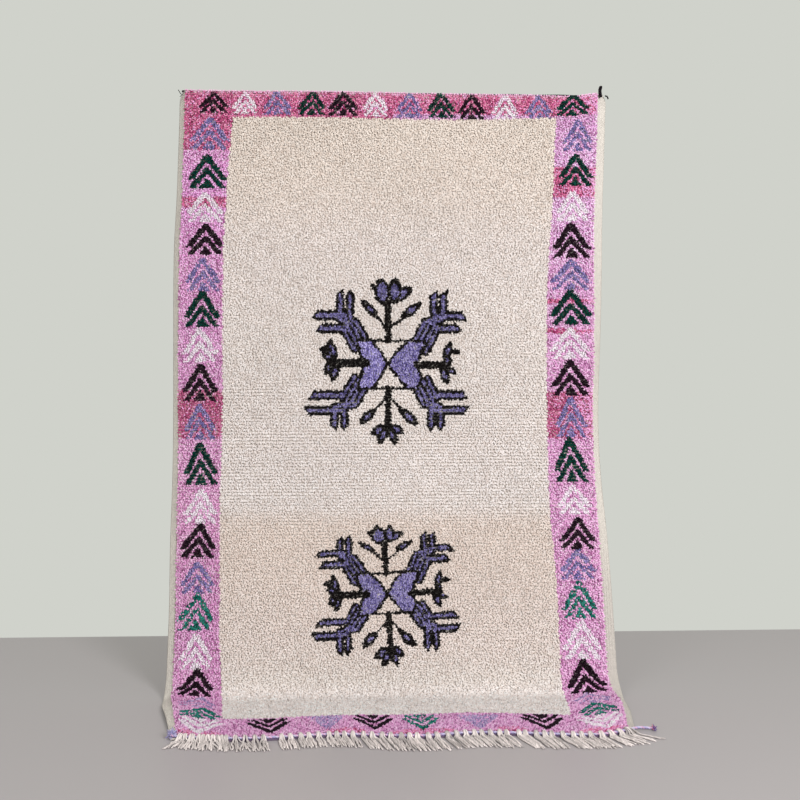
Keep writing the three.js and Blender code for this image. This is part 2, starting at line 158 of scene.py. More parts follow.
@dataclass
class HangingCloth:
    """The form in which the cloth hangs, bends and lies, the same as that of its solid."""

    ground: float = 0.004
    pile: float = 0.012
    strip: float = 0.003
    bend_start: float = 1.995
    bend_end: float = 2.135
    foot: float = 2.482
    length: float = 2.496
    hang_lean: float = 15.5
    sag_fade: float = 0.26
    settle: float = 0.16
    lift_reach: float = 0.15
    step: float = 0.001
    lean: Column = Column((0, 0.5, 0.95, 1.25, 1.5, 1.995), (3, 2.5, 3.5, 9, 15, 15.5))
    EDGE_ROWS = (0, 0.2, 0.38, 0.56, 0.9, 1.08, 1.255, 1.565, 1.765, 2.035, 2.135, 2.28, 2.38, 2.496)
    STRIP_ROWS = (0, 0.024, 0.08, 0.56, 1.0, 1.35, 1.6, 1.9, 2.06, 2.16, 2.3, 2.496)
    LIFT_ROWS = (1.995, 2.135, 2.26, 2.4, 2.482)
    left: Column = Column(
        EDGE_ROWS,
        (
            -0.72, -0.725, -0.731, -0.74, -0.743, -0.742, -0.739,
            -0.735, -0.73, -0.728, -0.719, -0.693, -0.674, -0.652,
        ),
    )
    right: Column = Column(
        EDGE_ROWS,
        (0.726, 0.719, 0.711, 0.708, 0.708, 0.703, 0.701, 0.705, 0.707, 0.708, 0.711, 0.704, 0.69, 0.672),
    )
    wide_left: Column = Column(
        STRIP_ROWS, (0.009, 0.029, 0.031, 0.033, 0.031, 0.032, 0.033, 0.033, 0.034, 0.033, 0.026, 0.017)
    )
    turn_left: Column = Column(STRIP_ROWS, (48, 48, 48, 49, 50, 46, 41, 40, 36, 22, 26, 6))
    wide_right: Column = Column(
        STRIP_ROWS, (0.024, 0.038, 0.038, 0.041, 0.039, 0.034, 0.034, 0.035, 0.035, 0.029, 0.026, 0.023)
    )
    turn_right: Column = Column(STRIP_ROWS, (30, 30, 30, 32, 48, 36, 12, 2, 4, 26, 24, 4))
    short: Column = Column(
        (-0.66, -0.44, -0.185, 0.06, 0.2, 0.33, 0.49, 0.59, 0.65, 0.7),
        (0.032, 0.014, 0.038, 0.014, 0.035, 0.028, 0.007, 0.005, 0.023, 0.046),
    )
    lift_left: Column = Column(LIFT_ROWS, (0, 0.016, 0.022, 0.013, 0.003))
    lift_right: Column = Column(LIFT_ROWS, (0, 0.014, 0.014, 0.008, 0.0025))
    sag: Column = Column(
        (-0.76, -0.56, -0.2, 0.15, 0.52, 0.64, 0.705, 0.77),
        (0.002, -0.001, 0.001, -0.002, -0.005, -0.006, 0.003, 0.008),
    )
    swells: tuple[Swell, ...] = (
        Swell(-0.43, 0.42, 0.26, 0.42, 0.005),
        Swell(0.06, 0.25, 0.21, 0.3, -0.004),
        Swell(0.47, 0.62, 0.23, 0.48, 0.005),
        Swell(-0.15, 1.18, 0.33, 0.26, -0.004),
        Swell(0.69, 1.18, 0.15, 0.26, -0.009),
        Swell(0.38, 1.56, 0.26, 0.24, 0.004),
        Swell(-0.56, 1.6, 0.24, 0.3, 0.005),
    )
    walk_along: np.ndarray = field(init=False)
    walk_out: np.ndarray = field(init=False)
    walk_up: np.ndarray = field(init=False)

    def __post_init__(self) -> None:
        """Walks down the back of the cloth in small steps."""
        count = round(self.length / self.step) + 1
        lean = self.lean_at((np.arange(count) + 0.5) * self.step)
        self.walk_along = np.arange(count + 1) * self.step
        self.walk_out = np.concatenate([[0.0], np.cumsum(self.step * np.sin(lean))])
        self.walk_up = np.concatenate([[0.0], -np.cumsum(self.step * np.cos(lean))])

    @property
    def floor(self) -> float:
        """Height of the floor under the cloth's end."""
        return float(self.walk_up[-1])

    def lean_at(self, along: np.ndarray) -> np.ndarray:
        """Lean of the cloth from plumb, in radians."""
        bend = np.clip((along - self.bend_start) / (self.bend_end - self.bend_start), 0.0, 1.0)
        bent = self.hang_lean + (90.0 - self.hang_lean) * bend
        return np.radians(np.where(along <= self.bend_start, self.lean.at(along), bent))

    def stand_off(self, across: np.ndarray, along: np.ndarray) -> np.ndarray:
        """How far the cloth stands off its plain line.

        Args:
            across: places across the cloth.
            along: places along it.

        Returns:
            The distance, by the swells and by the raised edges where it lies.
        """
        off = np.zeros(np.broadcast(across, along).shape)
        for s in self.swells:
            reach = ((across - s.across) / s.wide) ** 2 + ((along - s.along) / s.long) ** 2
            off = off + s.deep * np.exp(-reach)
        off = off * (1.0 - smooth(along, self.bend_start - self.settle, self.bend_start))
        from_left = np.maximum(across - self.left.at(along), 0.0)
        from_right = np.maximum(self.right.at(along) - across, 0.0)
        left = np.maximum(0.0, 1.0 - from_left / self.lift_reach) ** 2 * self.lift_left.at(along)
        right = np.maximum(0.0, 1.0 - from_right / self.lift_reach) ** 2 * self.lift_right.at(along)
        return off + np.where(along > self.bend_start, left + right, 0.0)

    def point(self, across: np.ndarray, along: np.ndarray, high: np.ndarray | float) -> np.ndarray:
        """Points of the cloth.

        Args:
            across: places across it.
            along: places along it.
            high: how high above its back.

        Returns:
            One row of x, y and z for each place.
        """
        across, along = np.broadcast_arrays(np.asarray(across, float), np.asarray(along, float))
        lean = self.lean_at(along)
        off = high + self.stand_off(across, along)
        reached = along - self.short.at(across) * smooth(along, self.bend_end, self.foot)
        out = np.interp(reached, self.walk_along, self.walk_out)
        up = np.interp(reached, self.walk_along, self.walk_up)
        sag = self.sag.at(across) * (1.0 - smooth(along, 0.0, self.sag_fade))
        return np.stack([across, -(out + off * np.cos(lean)), up + off * np.sin(lean) + sag], axis=-1)

    def axes(self, across: np.ndarray, along: np.ndarray) -> tuple[np.ndarray, np.ndarray, np.ndarray]:
        """Directions of the cloth at many places.

        Args:
            across: places across it.
            along: places along it.

        Returns:
            The directions to the right, down the cloth and off its pile face, each of length 1.
        """
        reach = 2.0 * MM
        before = np.maximum(along - reach, 0.0)
        right = unit(self.point(across + reach, along, 0.0) - self.point(across - reach, along, 0.0))
        down = self.point(across, along + reach, 0.0) - self.point(across, before, 0.0)
        down = unit(down - right * np.sum(down * right, axis=-1, keepdims=True))
        return right, down, unit(np.cross(down, right))

    def foot_point(self, across: np.ndarray, out: np.ndarray, up: np.ndarray) -> np.ndarray:
        """Points in front of the foot.

        Args:
            across: places across the cloth.
            out: how far square out from the end of the pile.
            up: how high above the cloth's back.

        Returns:
            One row of x, y and z for each place.
        """
        across = np.asarray(across, float)
        edge = self.point(across, np.full(across.shape, self.foot), 0.0)
        along = self.point(across + MM, np.full(across.shape, self.foot), 0.0) - edge
        away = unit(np.stack([along[..., 1], -along[..., 0], np.zeros(across.shape)], axis=-1))
        edge = edge + away * np.asarray(out)[..., None]
        edge[..., 2] += up
        return edge


def unit(vectors: np.ndarray) -> np.ndarray:
    """The same directions, each of length 1."""
    return vectors / np.maximum(np.linalg.norm(vectors, axis=-1, keepdims=True), 1e-12)


class Dye(Enum):
    """Yarn colours: a deep, a usual and a pale tuft of each, as display colours."""

    CREAM = ((222, 209, 199), (239, 229, 221), (247, 240, 234))
    ORCHID = ((168, 94, 148), (240, 174, 222), (248, 208, 238))
    DEEP_PINK = ((140, 40, 88), (216, 100, 152), (250, 170, 206))
    HOT_PINK = ((176, 64, 112), (226, 128, 172), (246, 184, 214))
    BLACK = ((14, 4, 12), (28, 12, 24), (48, 26, 42))
    GREEN = ((0, 26, 26), (0, 46, 40), (6, 72, 60))
    TEAL = ((6, 66, 62), (24, 112, 102), (62, 150, 136))
    LILAC = ((74, 72, 120), (126, 114, 176), (184, 164, 212))
    MAUVE = ((128, 104, 160), (182, 156, 204), (216, 194, 226))
    WHITE = ((222, 198, 220), (248, 234, 245), (252, 248, 251))
    INK = ((6, 4, 4), (15, 11, 11), (26, 20, 20))
    VIOLET = ((66, 58, 124), (146, 134, 198), (196, 186, 236))
    DUSK = ((40, 34, 72), (112, 104, 160), (162, 154, 206))

    @property
    def number(self) -> int:
        """Place of the dye in the order above."""
        return list(Dye).index(self)


DYES = np.array([[linear(*shade) for shade in dye.value] for dye in Dye])


@dataclass(frozen=True)
class Chevron:
    """Two nested strokes over a small triangle, on knots.

    It points up the rug, or down it where tip is past base.

    Attributes:
        dye: its colour.
        centre: its middle, across.
        tip: where its point is, along.
        base: where its feet stand, along.
        wide: width over the outer feet.
        solid: filled in, without its gaps.
        skew: how far its point stands to the right of its middle.
        bold: width of its strokes beside the usual one.
    """

    dye: Dye
    centre: float
    tip: float
    base: float
    wide: float = 0.132
    solid: bool = False
    skew: float = 0.0
    bold: float = 1.0

    STROKE = 0.15
    INNER_STROKE = 0.14
    OUTER_END = 0.755
    INNER_TIP = 0.39
    INNER_FOOT = 0.405
    WEDGE_TIP = 0.72
    WEDGE_FOOT = 0.15

    def covers(self, across: np.ndarray, along: np.ndarray) -> np.ndarray:
        """Which of the places are in its colour."""
        y = (along - self.tip) / (self.base - self.tip)
        x = np.abs(across - self.centre - self.skew * (1.0 - y)) / self.wide
        half, inner_half = self.bold * self.STROKE / 2.0, self.bold * self.INNER_STROKE / 2.0
        if self.solid:
            return (y >= 0.0) & (y <= 1.0) & (x < 0.06 + 0.44 * y)
        outer_slope = (0.5 - half) / self.OUTER_END
        outer = (np.abs(x - outer_slope * (y - 0.05)) < half) & (y >= 0.0) & (y <= self.OUTER_END)
        inner_slope = self.INNER_FOOT / (1.0 - self.INNER_TIP)
        inner_middle = inner_slope * (y - self.INNER_TIP - 0.07)
        inner = (np.abs(x - inner_middle) < inner_half) & (y >= self.INNER_TIP) & (y <= 1.0)
        wedge = (x < self.WEDGE_FOOT * (y - self.WEDGE_TIP) / (1.0 - self.WEDGE_TIP) + 0.02) & (y <= 1.0)
        return outer | inner | (wedge & (y >= self.WEDGE_TIP))


def segment_distance(x: np.ndarray, y: np.ndarray, start: tuple, end: tuple) -> np.ndarray:
    """Distance of each place from a straight line between two points."""
    way = np.subtract(end, start)
    t = np.clip(((x - start[0]) * way[0] + (y - start[1]) * way[1]) / np.dot(way, way), 0.0, 1.0)
    return np.hypot(x - start[0] - t * way[0], y - start[1] - t * way[1])


def polygon_depth(x: np.ndarray, y: np.ndarray, corners: tuple) -> np.ndarray:
    """How deep each place lies inside an outline, below 0 outside it."""
    inside = np.zeros(x.shape, bool)
    near = np.full(x.shape, np.inf)
    for start, end in zip(corners, corners[1:] + corners[:1]):
        crosses = (start[1] > y) != (end[1] > y)
        rise = end[1] - start[1] if end[1] != start[1] else 1e-9
        inside ^= crosses & (x < start[0] + (y - start[1]) * (end[0] - start[0]) / rise)
        near = np.minimum(near, segment_distance(x, y, start, end))
    return np.where(inside, near, -near)


@dataclass(frozen=True)
class Finger:
    """A level or upright finger with a drawn out point.

    Attributes:
        root: where it leaves the palm.
        end: its point.
        half: half its width.
    """

    root: tuple[float, float]
    end: tuple[float, float]
    half: float

    POINT = 0.021
    TAPER = 0.8

    def depth(self, x: np.ndarray, y: np.ndarray) -> np.ndarray:
        """How deep each place lies inside it, below 0 outside. Only its point bends."""
        wide, high = self.end[0] - self.root[0], self.end[1] - self.root[1]
        x, y = x - self.root[0], y - self.root[1]
        if abs(wide) > abs(high):
            long, bend, run, aside = abs(wide), high, x * math.copysign(1.0, wide), y
        else:
            long, bend, run, aside = abs(high), wide, y * math.copysign(1.0, high), x
        full = np.clip((long - run) / self.POINT, 0.0, 1.0)
        inside = self.half * full**self.TAPER - np.abs(aside - bend * (1.0 - full))
        return np.where((run >= 0.0) & (run <= long), inside, -1.0)


@dataclass(frozen=True)
class Hand:
    """Four stripes from the bow to a palm, where they part into two upright and two level fingers.

    Attributes:
        wrist: middle of the stripes at the bow.
        palm: middle of the stripes where they part.
        upright: place across, then the point, of the inner and the outer upright finger.
        level: height, then the point, of the farther and the nearer level finger.
    """

    wrist: tuple[float, float]
    palm: tuple[float, float]
    upright: tuple[tuple[float, tuple[float, float]], tuple[float, tuple[float, float]]]
    level: tuple[tuple[float, tuple[float, float]], tuple[float, tuple[float, float]]]

    PITCH = 0.0174
    UPRIGHT_HALF = 0.0158
    LEVEL_HALF = 0.0172
    SPAN = (-0.12, 0.78)
    UPRIGHT_ROOT = 0.002
    LEVEL_ROOT = 0.006

    def stripes(self) -> list[list[tuple[float, float]]]:
        """Corners of each stripe's middle line, from the bow to the root of its finger."""
        (wx, wy), (px, py) = self.wrist, self.palm
        wide, high = px - wx, py - wy
        long = math.hypot(wide, high)
        right, down = math.copysign(1.0, wide), math.copysign(1.0, high)
        made = []
        for k in range(4):
            off = (k - 1.5) * self.PITCH
            dx, dy = right * abs(high) / long * off, -down * abs(wide) / long * off
            line = [(wx + part * wide + dx, wy + part * high + dy) for part in self.SPAN]
            if k < 2:
                line.append((self.upright[k][0], py + down * self.UPRIGHT_ROOT))
            else:
                line.append((px + right * self.LEVEL_ROOT, self.level[k - 2][0]))
            made.append(line)
        return made

    def fingers(self) -> list[Finger]:
        """Its four fingers."""
        px, py = self.palm
        made = [Finger((across, py), end, self.UPRIGHT_HALF) for across, end in self.upright]
        return made + [Finger((px, place), end, self.LEVEL_HALF) for place, end in self.level]


@dataclass(frozen=True)
class Petal:
    """A petal or leaf: its middle, half its length and width, and its turn, clockwise in degrees."""

    x: float
    y: float
    long: float
    wide: float
    turn: float
    solid: bool = False

    ROUND = 1.65

    def depth(self, x: np.ndarray, y: np.ndarray) -> np.ndarray:
        """How deep each place lies inside it, below 0 outside."""
        c, s = math.cos(math.radians(self.turn)), math.sin(math.radians(self.turn))
        a = np.abs((x - self.x) * c + (y - self.y) * s) / self.long
        b = np.abs(-(x - self.x) * s + (y - self.y) * c) / self.wide
        return (1.0 - (a**self.ROUND + b**self.ROUND) ** (1.0 / self.ROUND)) * self.wide


@dataclass(frozen=True)
class Medallion:
    """A flower medallion: a bow of two violet halves, four hands with fingers, flowers and leaves.

    Sizes are metres on the larger medallion, from its middle, to the right and down.

    Attributes:
        across: its middle, across the rug.
        along: its middle, along the rug.
        wide: for places to its left and right, where they lie on the larger one.
        tall: the same for places up and down.
        reach: how far it goes to each side, and up and down.
        bold: width of its black lines beside the larger one's.
        turn: how far it is turned, in degrees.
        shade: factors on the violet of the left and the right half of the bow; where the halves differ, they
            are painted light and shade.
    """

    across: float
    along: float
    wide: Column = Column((-1.0, 1.0), (-1.0, 1.0))
    tall: Column = Column((-1.0, 1.0), (-1.0, 1.0))
    reach: tuple[float, float] = (0.32, 0.33)
    bold: float = 1.0
    turn: float = 0.0
    shade: tuple[float, float] = (1.12, 0.9)

    LINE = 0.0096
    STRIPE = 0.0048
    SEAM = 0.0092
    FINGER_LINE = 0.0100

    BOWS = (
        (
            (-0.006, 0.001), (-0.025, -0.034), (-0.063, -0.080), (-0.104, -0.078), (-0.081, 0.004),
            (-0.101, 0.084), (-0.053, 0.080),
        ),
        (
            (0.006, 0.001), (0.028, -0.034), (0.073, -0.077), (0.123, -0.076), (0.097, 0.006),
            (0.112, 0.048), (0.097, 0.085), (0.069, 0.082),
        ),
    )
    HANDS = (
        Hand(
            (-0.098, -0.071), (-0.145, -0.153),
            ((-0.133, (-0.130, -0.262)), (-0.167, (-0.160, -0.261))),
            ((-0.170, (-0.266, -0.161)), (-0.124, (-0.254, -0.113))),
        ),
        Hand(
            (0.115, -0.064), (0.162, -0.155),
            ((0.160, (0.174, -0.258)), (0.193, (0.209, -0.260))),
            ((-0.167, (0.280, -0.147)), (-0.124, (0.260, -0.115))),
        ),
        Hand(
            (-0.100, 0.069), (-0.148, 0.148),
            ((-0.153, (-0.157, 0.234)), (-0.187, (-0.180, 0.234))),
            ((0.163, (-0.296, 0.150)), (0.110, (-0.280, 0.127))),
        ),
        Hand(
            (0.118, 0.071), (0.156, 0.146),
            ((0.150, (0.147, 0.238)), (0.182, (0.180, 0.236))),
            ((0.162, (0.284, 0.149)), (0.110, (0.280, 0.126))),
        ),
    )
    STEMS = (
        ((0.000, -0.216), (0.000, -0.081), 0.0115),
        ((0.000, 0.087), (0.000, 0.212), 0.0115),
        ((-0.202, -0.003), (-0.077, -0.003), 0.0155),
        ((0.100, 0.004), (0.199, 0.004), 0.0125),
        ((-0.063, -0.081), (0.105, -0.081), 0.0046),
        ((-0.080, 0.086), (0.090, 0.086), 0.0046),
        ((0.008, -0.130), (0.056, -0.160), 0.0044),
        ((-0.006, -0.124), (-0.040, -0.166), 0.0044),
        ((0.012, 0.124), (0.050, 0.161), 0.0044),
        ((-0.008, 0.122), (-0.049, 0.163), 0.0044),
    )
    PETALS = (
        Petal(-0.047, -0.268, 0.018, 0.010, -145, solid=True),
        Petal(0.047, -0.244, 0.046, 0.022, -31),
        Petal(-0.020, -0.252, 0.049, 0.029, -95),
        Petal(0.024, -0.255, 0.048, 0.024, -88),
        Petal(-0.030, 0.232, 0.034, 0.0195, 153),
        Petal(0.028, 0.230, 0.030, 0.018, 22),
        Petal(-0.018, 0.249, 0.036, 0.0165, 112),
        Petal(0.015, 0.249, 0.036, 0.0155, 72),
        Petal(0.082, -0.188, 0.045, 0.0175, -38),
        Petal(-0.063, -0.191, 0.044, 0.0145, -133),
        Petal(0.072, 0.186, 0.045, 0.0170, 41),
        Petal(-0.071, 0.184, 0.040, 0.0165, 137),
        Petal(-0.195, -0.046, 0.040, 0.0185, -102),
        Petal(-0.219, -0.050, 0.023, 0.014, 6, solid=True),
        Petal(-0.209, -0.026, 0.024, 0.015, -150),
        Petal(-0.208, 0.014, 0.027, 0.015, 118),
        Petal(-0.187, 0.031, 0.034, 0.0165, 108),
        Petal(0.208, -0.043, 0.038, 0.0165, -72),
        Petal(0.236, -0.041, 0.017, 0.011, 0, solid=True),
        Petal(0.208, -0.012, 0.024, 0.015, 60),
        Petal(0.220, 0.024, 0.023, 0.013, 35),
        Petal(0.197, 0.039, 0.034, 0.0165, 72),
    )

    def local(self, across: np.ndarray, along: np.ndarray) -> tuple[np.ndarray, np.ndarray]:
        """Places from the medallion's own middle, at the larger one's size."""
        x, y = across - self.across, along - self.along
        c, s = math.cos(math.radians(self.turn)), math.sin(math.radians(self.turn))
        return self.wide.at(x * c - y * s), self.tall.at(x * s + y * c)

    def near(self, across: np.ndarray, along: np.ndarray) -> np.ndarray:
        """Which places are in the medallion's own part of the field."""
        return (np.abs(across - self.across) < self.reach[0]) & (np.abs(along - self.along) < self.reach[1])

    def paint(self, codes: np.ndarray, across: np.ndarray, along: np.ndarray) -> None:
        """Colours the places that the medallion covers.

        Args:
            codes: the dye of each place, changed here.
            across: the places, across the rug.
            along: the places, along the rug.
        """
        near = self.near(across, along)
        x, y = self.local(across[near], along[near])
        here = codes[near]
        black, violet, dusk = Dye.INK.number, Dye.VIOLET.number, Dye.DUSK.number

        to_stripe = np.full(x.shape, np.inf)
        finger_depth = np.full(x.shape, -np.inf)
        for hand in self.HANDS:
            for line in hand.stripes():
                for start, end in zip(line, line[1:]):
                    to_stripe = np.minimum(to_stripe, segment_distance(x, y, start, end))
            for finger in hand.fingers():
                finger_depth = np.maximum(finger_depth, finger.depth(x, y))
        here[(to_stripe < self.STRIPE + self.SEAM * self.bold) | (finger_depth > 0.0)] = black
        here[(to_stripe < self.STRIPE) | (finger_depth > self.FINGER_LINE * self.bold)] = dusk
        for bow in self.BOWS:
            depth = polygon_depth(x, y, bow)
            here[depth > -self.LINE * self.bold] = black
            here[depth > 0.0] = violet
        for start, end, half in self.STEMS:
            here[segment_distance(x, y, start, end) < half * self.bold] = black
        for petal in self.PETALS:
            depth = petal.depth(x, y)
            here[depth > 0.0] = black
            if not petal.solid:
                here[depth > self.LINE * self.bold] = dusk
        codes[near] = here


@dataclass
class RugChart:
    """Which dye each knot has: the pink border with its chevrons, the cream field and its two medallions."""

    inner_left: Column = Column(
        (0.1, 0.21, 0.38, 0.56, 0.73, 1.08, 1.43, 1.765, 1.9, 2.035, 2.13, 2.28, 2.38),
        (0.1156, 0.11, 0.105, 0.1043, 0.104, 0.1046, 0.1, 0.1015, 0.1024, 0.1086, 0.111, 0.107, 0.104),
    )
    inner_right: Column = Column(
        (0.1, 0.21, 0.38, 0.56, 0.73, 0.905, 1.08, 1.255, 1.43, 1.765, 2.035, 2.28, 2.38),
        (0.8995, 0.898, 0.8976, 0.891, 0.885, 0.884, 0.888, 0.889, 0.8865, 0.892, 0.891, 0.88, 0.8765),
    )
    top_band: Column = Column((0.0, 0.5, 0.73, 1.0), (0.094, 0.0945, 0.092, 0.075))
    foot_band: Column = Column((0.0, 0.2, 0.6, 0.8, 1.0), (2.33, 2.32, 2.3, 2.314, 2.332))
    left_centre: Column = Column(
        (0.15, 0.28, 0.52, 0.76, 1.1, 1.3, 1.56, 1.9, 2.05, 2.16, 2.28, 2.4),
        (-0.638, -0.644, -0.651, -0.66, -0.67, -0.658, -0.66, -0.66, -0.655, -0.63, -0.615, -0.602),
    )
    right_centre: Column = Column(
        (0.15, 0.27, 0.4, 0.52, 0.76, 1.1, 1.9, 2.05, 2.28, 2.4),
        (0.655, 0.642, 0.633, 0.63, 0.628, 0.626, 0.63, 0.636, 0.622, 0.617),
    )
    left_wide: Column = Column((0.5, 0.7, 1.1, 1.3, 2.2, 2.4), (0.148, 0.138, 0.134, 0.128, 0.138, 0.16))
    right_wide: Column = Column(
        (0.15, 0.27, 0.39, 0.52, 0.64, 0.76, 1.0, 1.14, 1.29, 1.43, 1.9, 2.04, 2.2, 2.4),
        (0.124, 0.131, 0.14, 0.158, 0.158, 0.166, 0.15, 0.126, 0.141, 0.134, 0.142, 0.148, 0.142, 0.168),
    )
    side_dyes: tuple = (
        (Dye.LILAC, Dye.GREEN, Dye.WHITE, Dye.BLACK) * 3 + (Dye.LILAC, Dye.TEAL, Dye.WHITE, Dye.BLACK) * 2
    )
    left_motifs: tuple = (
        (0.096, 0.208), (0.228, 0.344), (0.358, 0.462), (0.468, 0.576), (0.586, 0.702), (0.702, 0.826),
        (0.83, 0.948), (0.954, 1.084), (1.094, 1.218), (1.228, 1.374), (1.388, 1.508), (1.508, 1.622),
        (1.636, 1.742), (1.742, 1.862), (1.87, 1.988), (1.988, 2.098), (2.104, 2.218), (2.222, 2.334),
        (2.466, 2.336),
    )
    right_motifs: tuple = (
        (0.089, 0.202), (0.214, 0.326), (0.344, 0.45), (0.458, 0.58), (0.588, 0.694), (0.694, 0.816),
        (0.828, 0.936), (0.94, 1.064), (1.07, 1.212), (1.212, 1.37), (1.38, 1.484), (1.496, 1.602),
        (1.602, 1.706), (1.712, 1.836), (1.842, 1.97), (1.97, 2.11), (2.11, 2.212), (2.216, 2.334),
        (2.458, 2.338),
    )
    top_motifs: tuple = (
        (Dye.BLACK, -0.624, 0.006, 0.079, 0.112), (Dye.WHITE, -0.513, 0.003, 0.084, 0.098),
        (Dye.LILAC, -0.399, 0.002, 0.085, 0.108), (Dye.GREEN, -0.284, 0.001, 0.086, 0.108),
        (Dye.BLACK, -0.173, 0.001, 0.087, 0.12), (Dye.WHITE, -0.058, 0.001, 0.087, 0.106),
        (Dye.LILAC, 0.061, 0.001, 0.088, 0.108), (Dye.GREEN, 0.174, -0.003, 0.088, 0.112),
        (Dye.BLACK, 0.279, 0.001, 0.094, 0.108), (Dye.WHITE, 0.396, 0.001, 0.093, 0.108),
        (Dye.LILAC, 0.52, 0.001, 0.088, 0.108), (Dye.GREEN, 0.637, -0.006, 0.073, 0.136),
    )
    foot_motifs: tuple = (
        (Dye.BLACK, -0.4, 2.465, 2.336, 0.142, 0.017), (Dye.MAUVE, -0.223, 2.45, 2.316, 0.122, 0.008),
        (Dye.BLACK, -0.082, 2.455, 2.316, 0.134, 0.009), (Dye.TEAL, 0.064, 2.448, 2.312, 0.124, 0.005),
        (Dye.MAUVE, 0.245, 2.466, 2.327, 0.138, -0.009), (Dye.BLACK, 0.437, 2.462, 2.322, 0.142, -0.001),
    )
    foot_glows: tuple = ((-0.62, 0.10), (-0.16, 0.06), (0.07, 0.10), (0.33, 0.05), (0.6, 0.07))
    medallions: tuple[Medallion, ...] = (
        Medallion(-0.017, 0.955),
        Medallion(
            -0.024, 1.748,
            wide=Column(
                (-0.33, -0.2, -0.1, 0.0, 0.052, 0.1, 0.24, 0.33),
                (-0.372, -0.224, -0.106, 0.0, 0.069, 0.121, 0.283, 0.388),
            ),
            tall=Column(
                (-0.3, -0.202, -0.145, -0.069, 0.0, 0.065, 0.127, 0.198, 0.3),
                (-0.384, -0.262, -0.17, -0.081, 0.0, 0.085, 0.163, 0.236, 0.35),
            ),
            reach=(0.31, 0.28), bold=1.06, turn=3.0, shade=(0.8, 0.8),
        ),
    )
    paler_from: float = 2.0
    foot_bold: float = 0.86
    bold: tuple = (
        (Dye.LILAC, 1.05), (Dye.WHITE, 1.02), (Dye.MAUVE, 0.85),
        (Dye.GREEN, 1.08), (Dye.BLACK, 1.06), (Dye.TEAL, 0.97),
    )
    left_deep: tuple = ((-1.0, 0.212), (0.375, 0.412), (1.045, 1.212))
    right_deep: tuple = ((0.262, 0.368), (0.726, 0.74), (0.83, 0.846), (1.052, 1.216))
    right_top: float = 0.075

    # Rows of factors on the cream field: partly the wool's tone, partly painted light and shade, much lighter
    # from the bend onto the lying foot.
    FIELD_ROWS = (0.0, 0.35, 0.55, 0.9, 1.2, 1.45, 1.52, 1.9, 2.03, 2.1, 2.5)
    FIELD_LIGHT_AND_TONE = (
        (0.91, 0.95, 0.96, 0.95, 0.94, 0.94, 0.90, 0.91, 0.91, 1.1, 1.14),
        (0.87, 0.91, 0.94, 0.94, 0.93, 0.93, 0.84, 0.87, 0.90, 1.09, 1.13),
        (0.84, 0.90, 0.97, 0.97, 0.97, 0.97, 0.83, 0.88, 0.92, 1.14, 1.2),
    )
    ORCHID_ROWS = (0.1, 0.36, 0.62, 1.05, 1.44, 1.72, 2.3)
    LEFT_TINTS = (
        (1.0, 1.08, 1.05, 0.97, 1.0, 0.92, 0.98),
        (1.0, 1.0, 1.04, 0.97, 1.01, 0.88, 0.98),
        (1.0, 1.13, 1.08, 0.99, 0.99, 0.92, 0.99),
    )
    RIGHT_TINTS = (
        (0.93, 1.08, 1.04, 0.98, 0.98, 0.98, 0.98),
        (1.0, 1.3, 1.16, 1.0, 1.0, 1.0, 1.0),
        (1.02, 1.22, 1.12, 1.0, 1.0, 1.0, 1.0),
    )

    def chevrons(self) -> list[Chevron]:
        """All the border's motifs, each a little different, as a weaver's hand leaves them."""
        hand = np.random.default_rng(SEED)
        bold = dict(self.bold)
        made = []
        for motifs, centre, wide in (
            (self.left_motifs, self.left_centre, self.left_wide),
            (self.right_motifs, self.right_centre, self.right_wide),
        ):
            for dye, (tip, base) in zip(self.side_dyes, motifs):
                place = (tip + base) / 2
                middle = float(centre.at(place)) + hand.normal(0, 1.5 * MM)
                shown = Dye.MAUVE if dye == Dye.LILAC and tip > self.paler_from else dye
                width = float(wide.at(place)) + hand.normal(0, 3 * MM)
                skew = hand.normal(0.0, 4 * MM)
                made.append(Chevron(shown, middle, tip, base, width, skew=skew, bold=bold.get(shown, 1.0)))
        for dye, middle, tip, base, wide in self.top_motifs:
            skew = hand.normal(0, 3 * MM)
            made.append(Chevron(dye, middle, tip, base, wide, skew=skew, bold=bold.get(dye, 1.0)))
        for dye, middle, tip, base, wide, skew in self.foot_motifs:
            made.append(Chevron(dye, middle, tip, base, wide, dye == Dye.MAUVE, skew, self.foot_bold))
        return made

    def deep_pink(self, share: np.ndarray, along: np.ndarray) -> np.ndarray:
        """Which places of the border are in the deeper pink."""
        left = share < 0.5
        bands = (along < self.top_band.at(share)) & (left | (along < self.right_top))
        for side, zones in ((left, self.left_deep), (~left, self.right_deep)):
            for start, end in zones:
                bands |= side & (along > start) & (along < end)
        return bands

    def border(self, share: np.ndarray, along: np.ndarray) -> np.ndarray:
        """Which places are in the border."""
        sides = (share < self.inner_left.at(along)) | (share > self.inner_right.at(along))
        return sides | (along < self.top_band.at(share)) | (along > self.foot_band.at(share))

    def dyes(self, share: np.ndarray, across: np.ndarray, along: np.ndarray) -> np.ndarray:
        """The dye of each knot.

        Args:
            share: the knots' places as shares of the pile's width, from the left.
            across: the same, in metres from the middle.
            along: their places along the rug.

        Returns:
            The number of each knot's dye.
        """
        codes = np.full(share.shape, Dye.CREAM.number)
        for medallion in self.medallions:
            medallion.paint(codes, across, along)
        border = self.border(share, along)
        codes[border] = Dye.ORCHID.number
        codes[border & self.deep_pink(share, along)] = Dye.DEEP_PINK.number
        for middle, wide in self.foot_glows:
            glow = ((across - middle) / wide) ** 2 + ((along - 2.478) / 0.034) ** 2
            codes[border & (glow < 1.0)] = Dye.HOT_PINK.number
        for chevron in self.chevrons():
            codes[chevron.covers(across, along) & border] = chevron.dye.number
        return codes

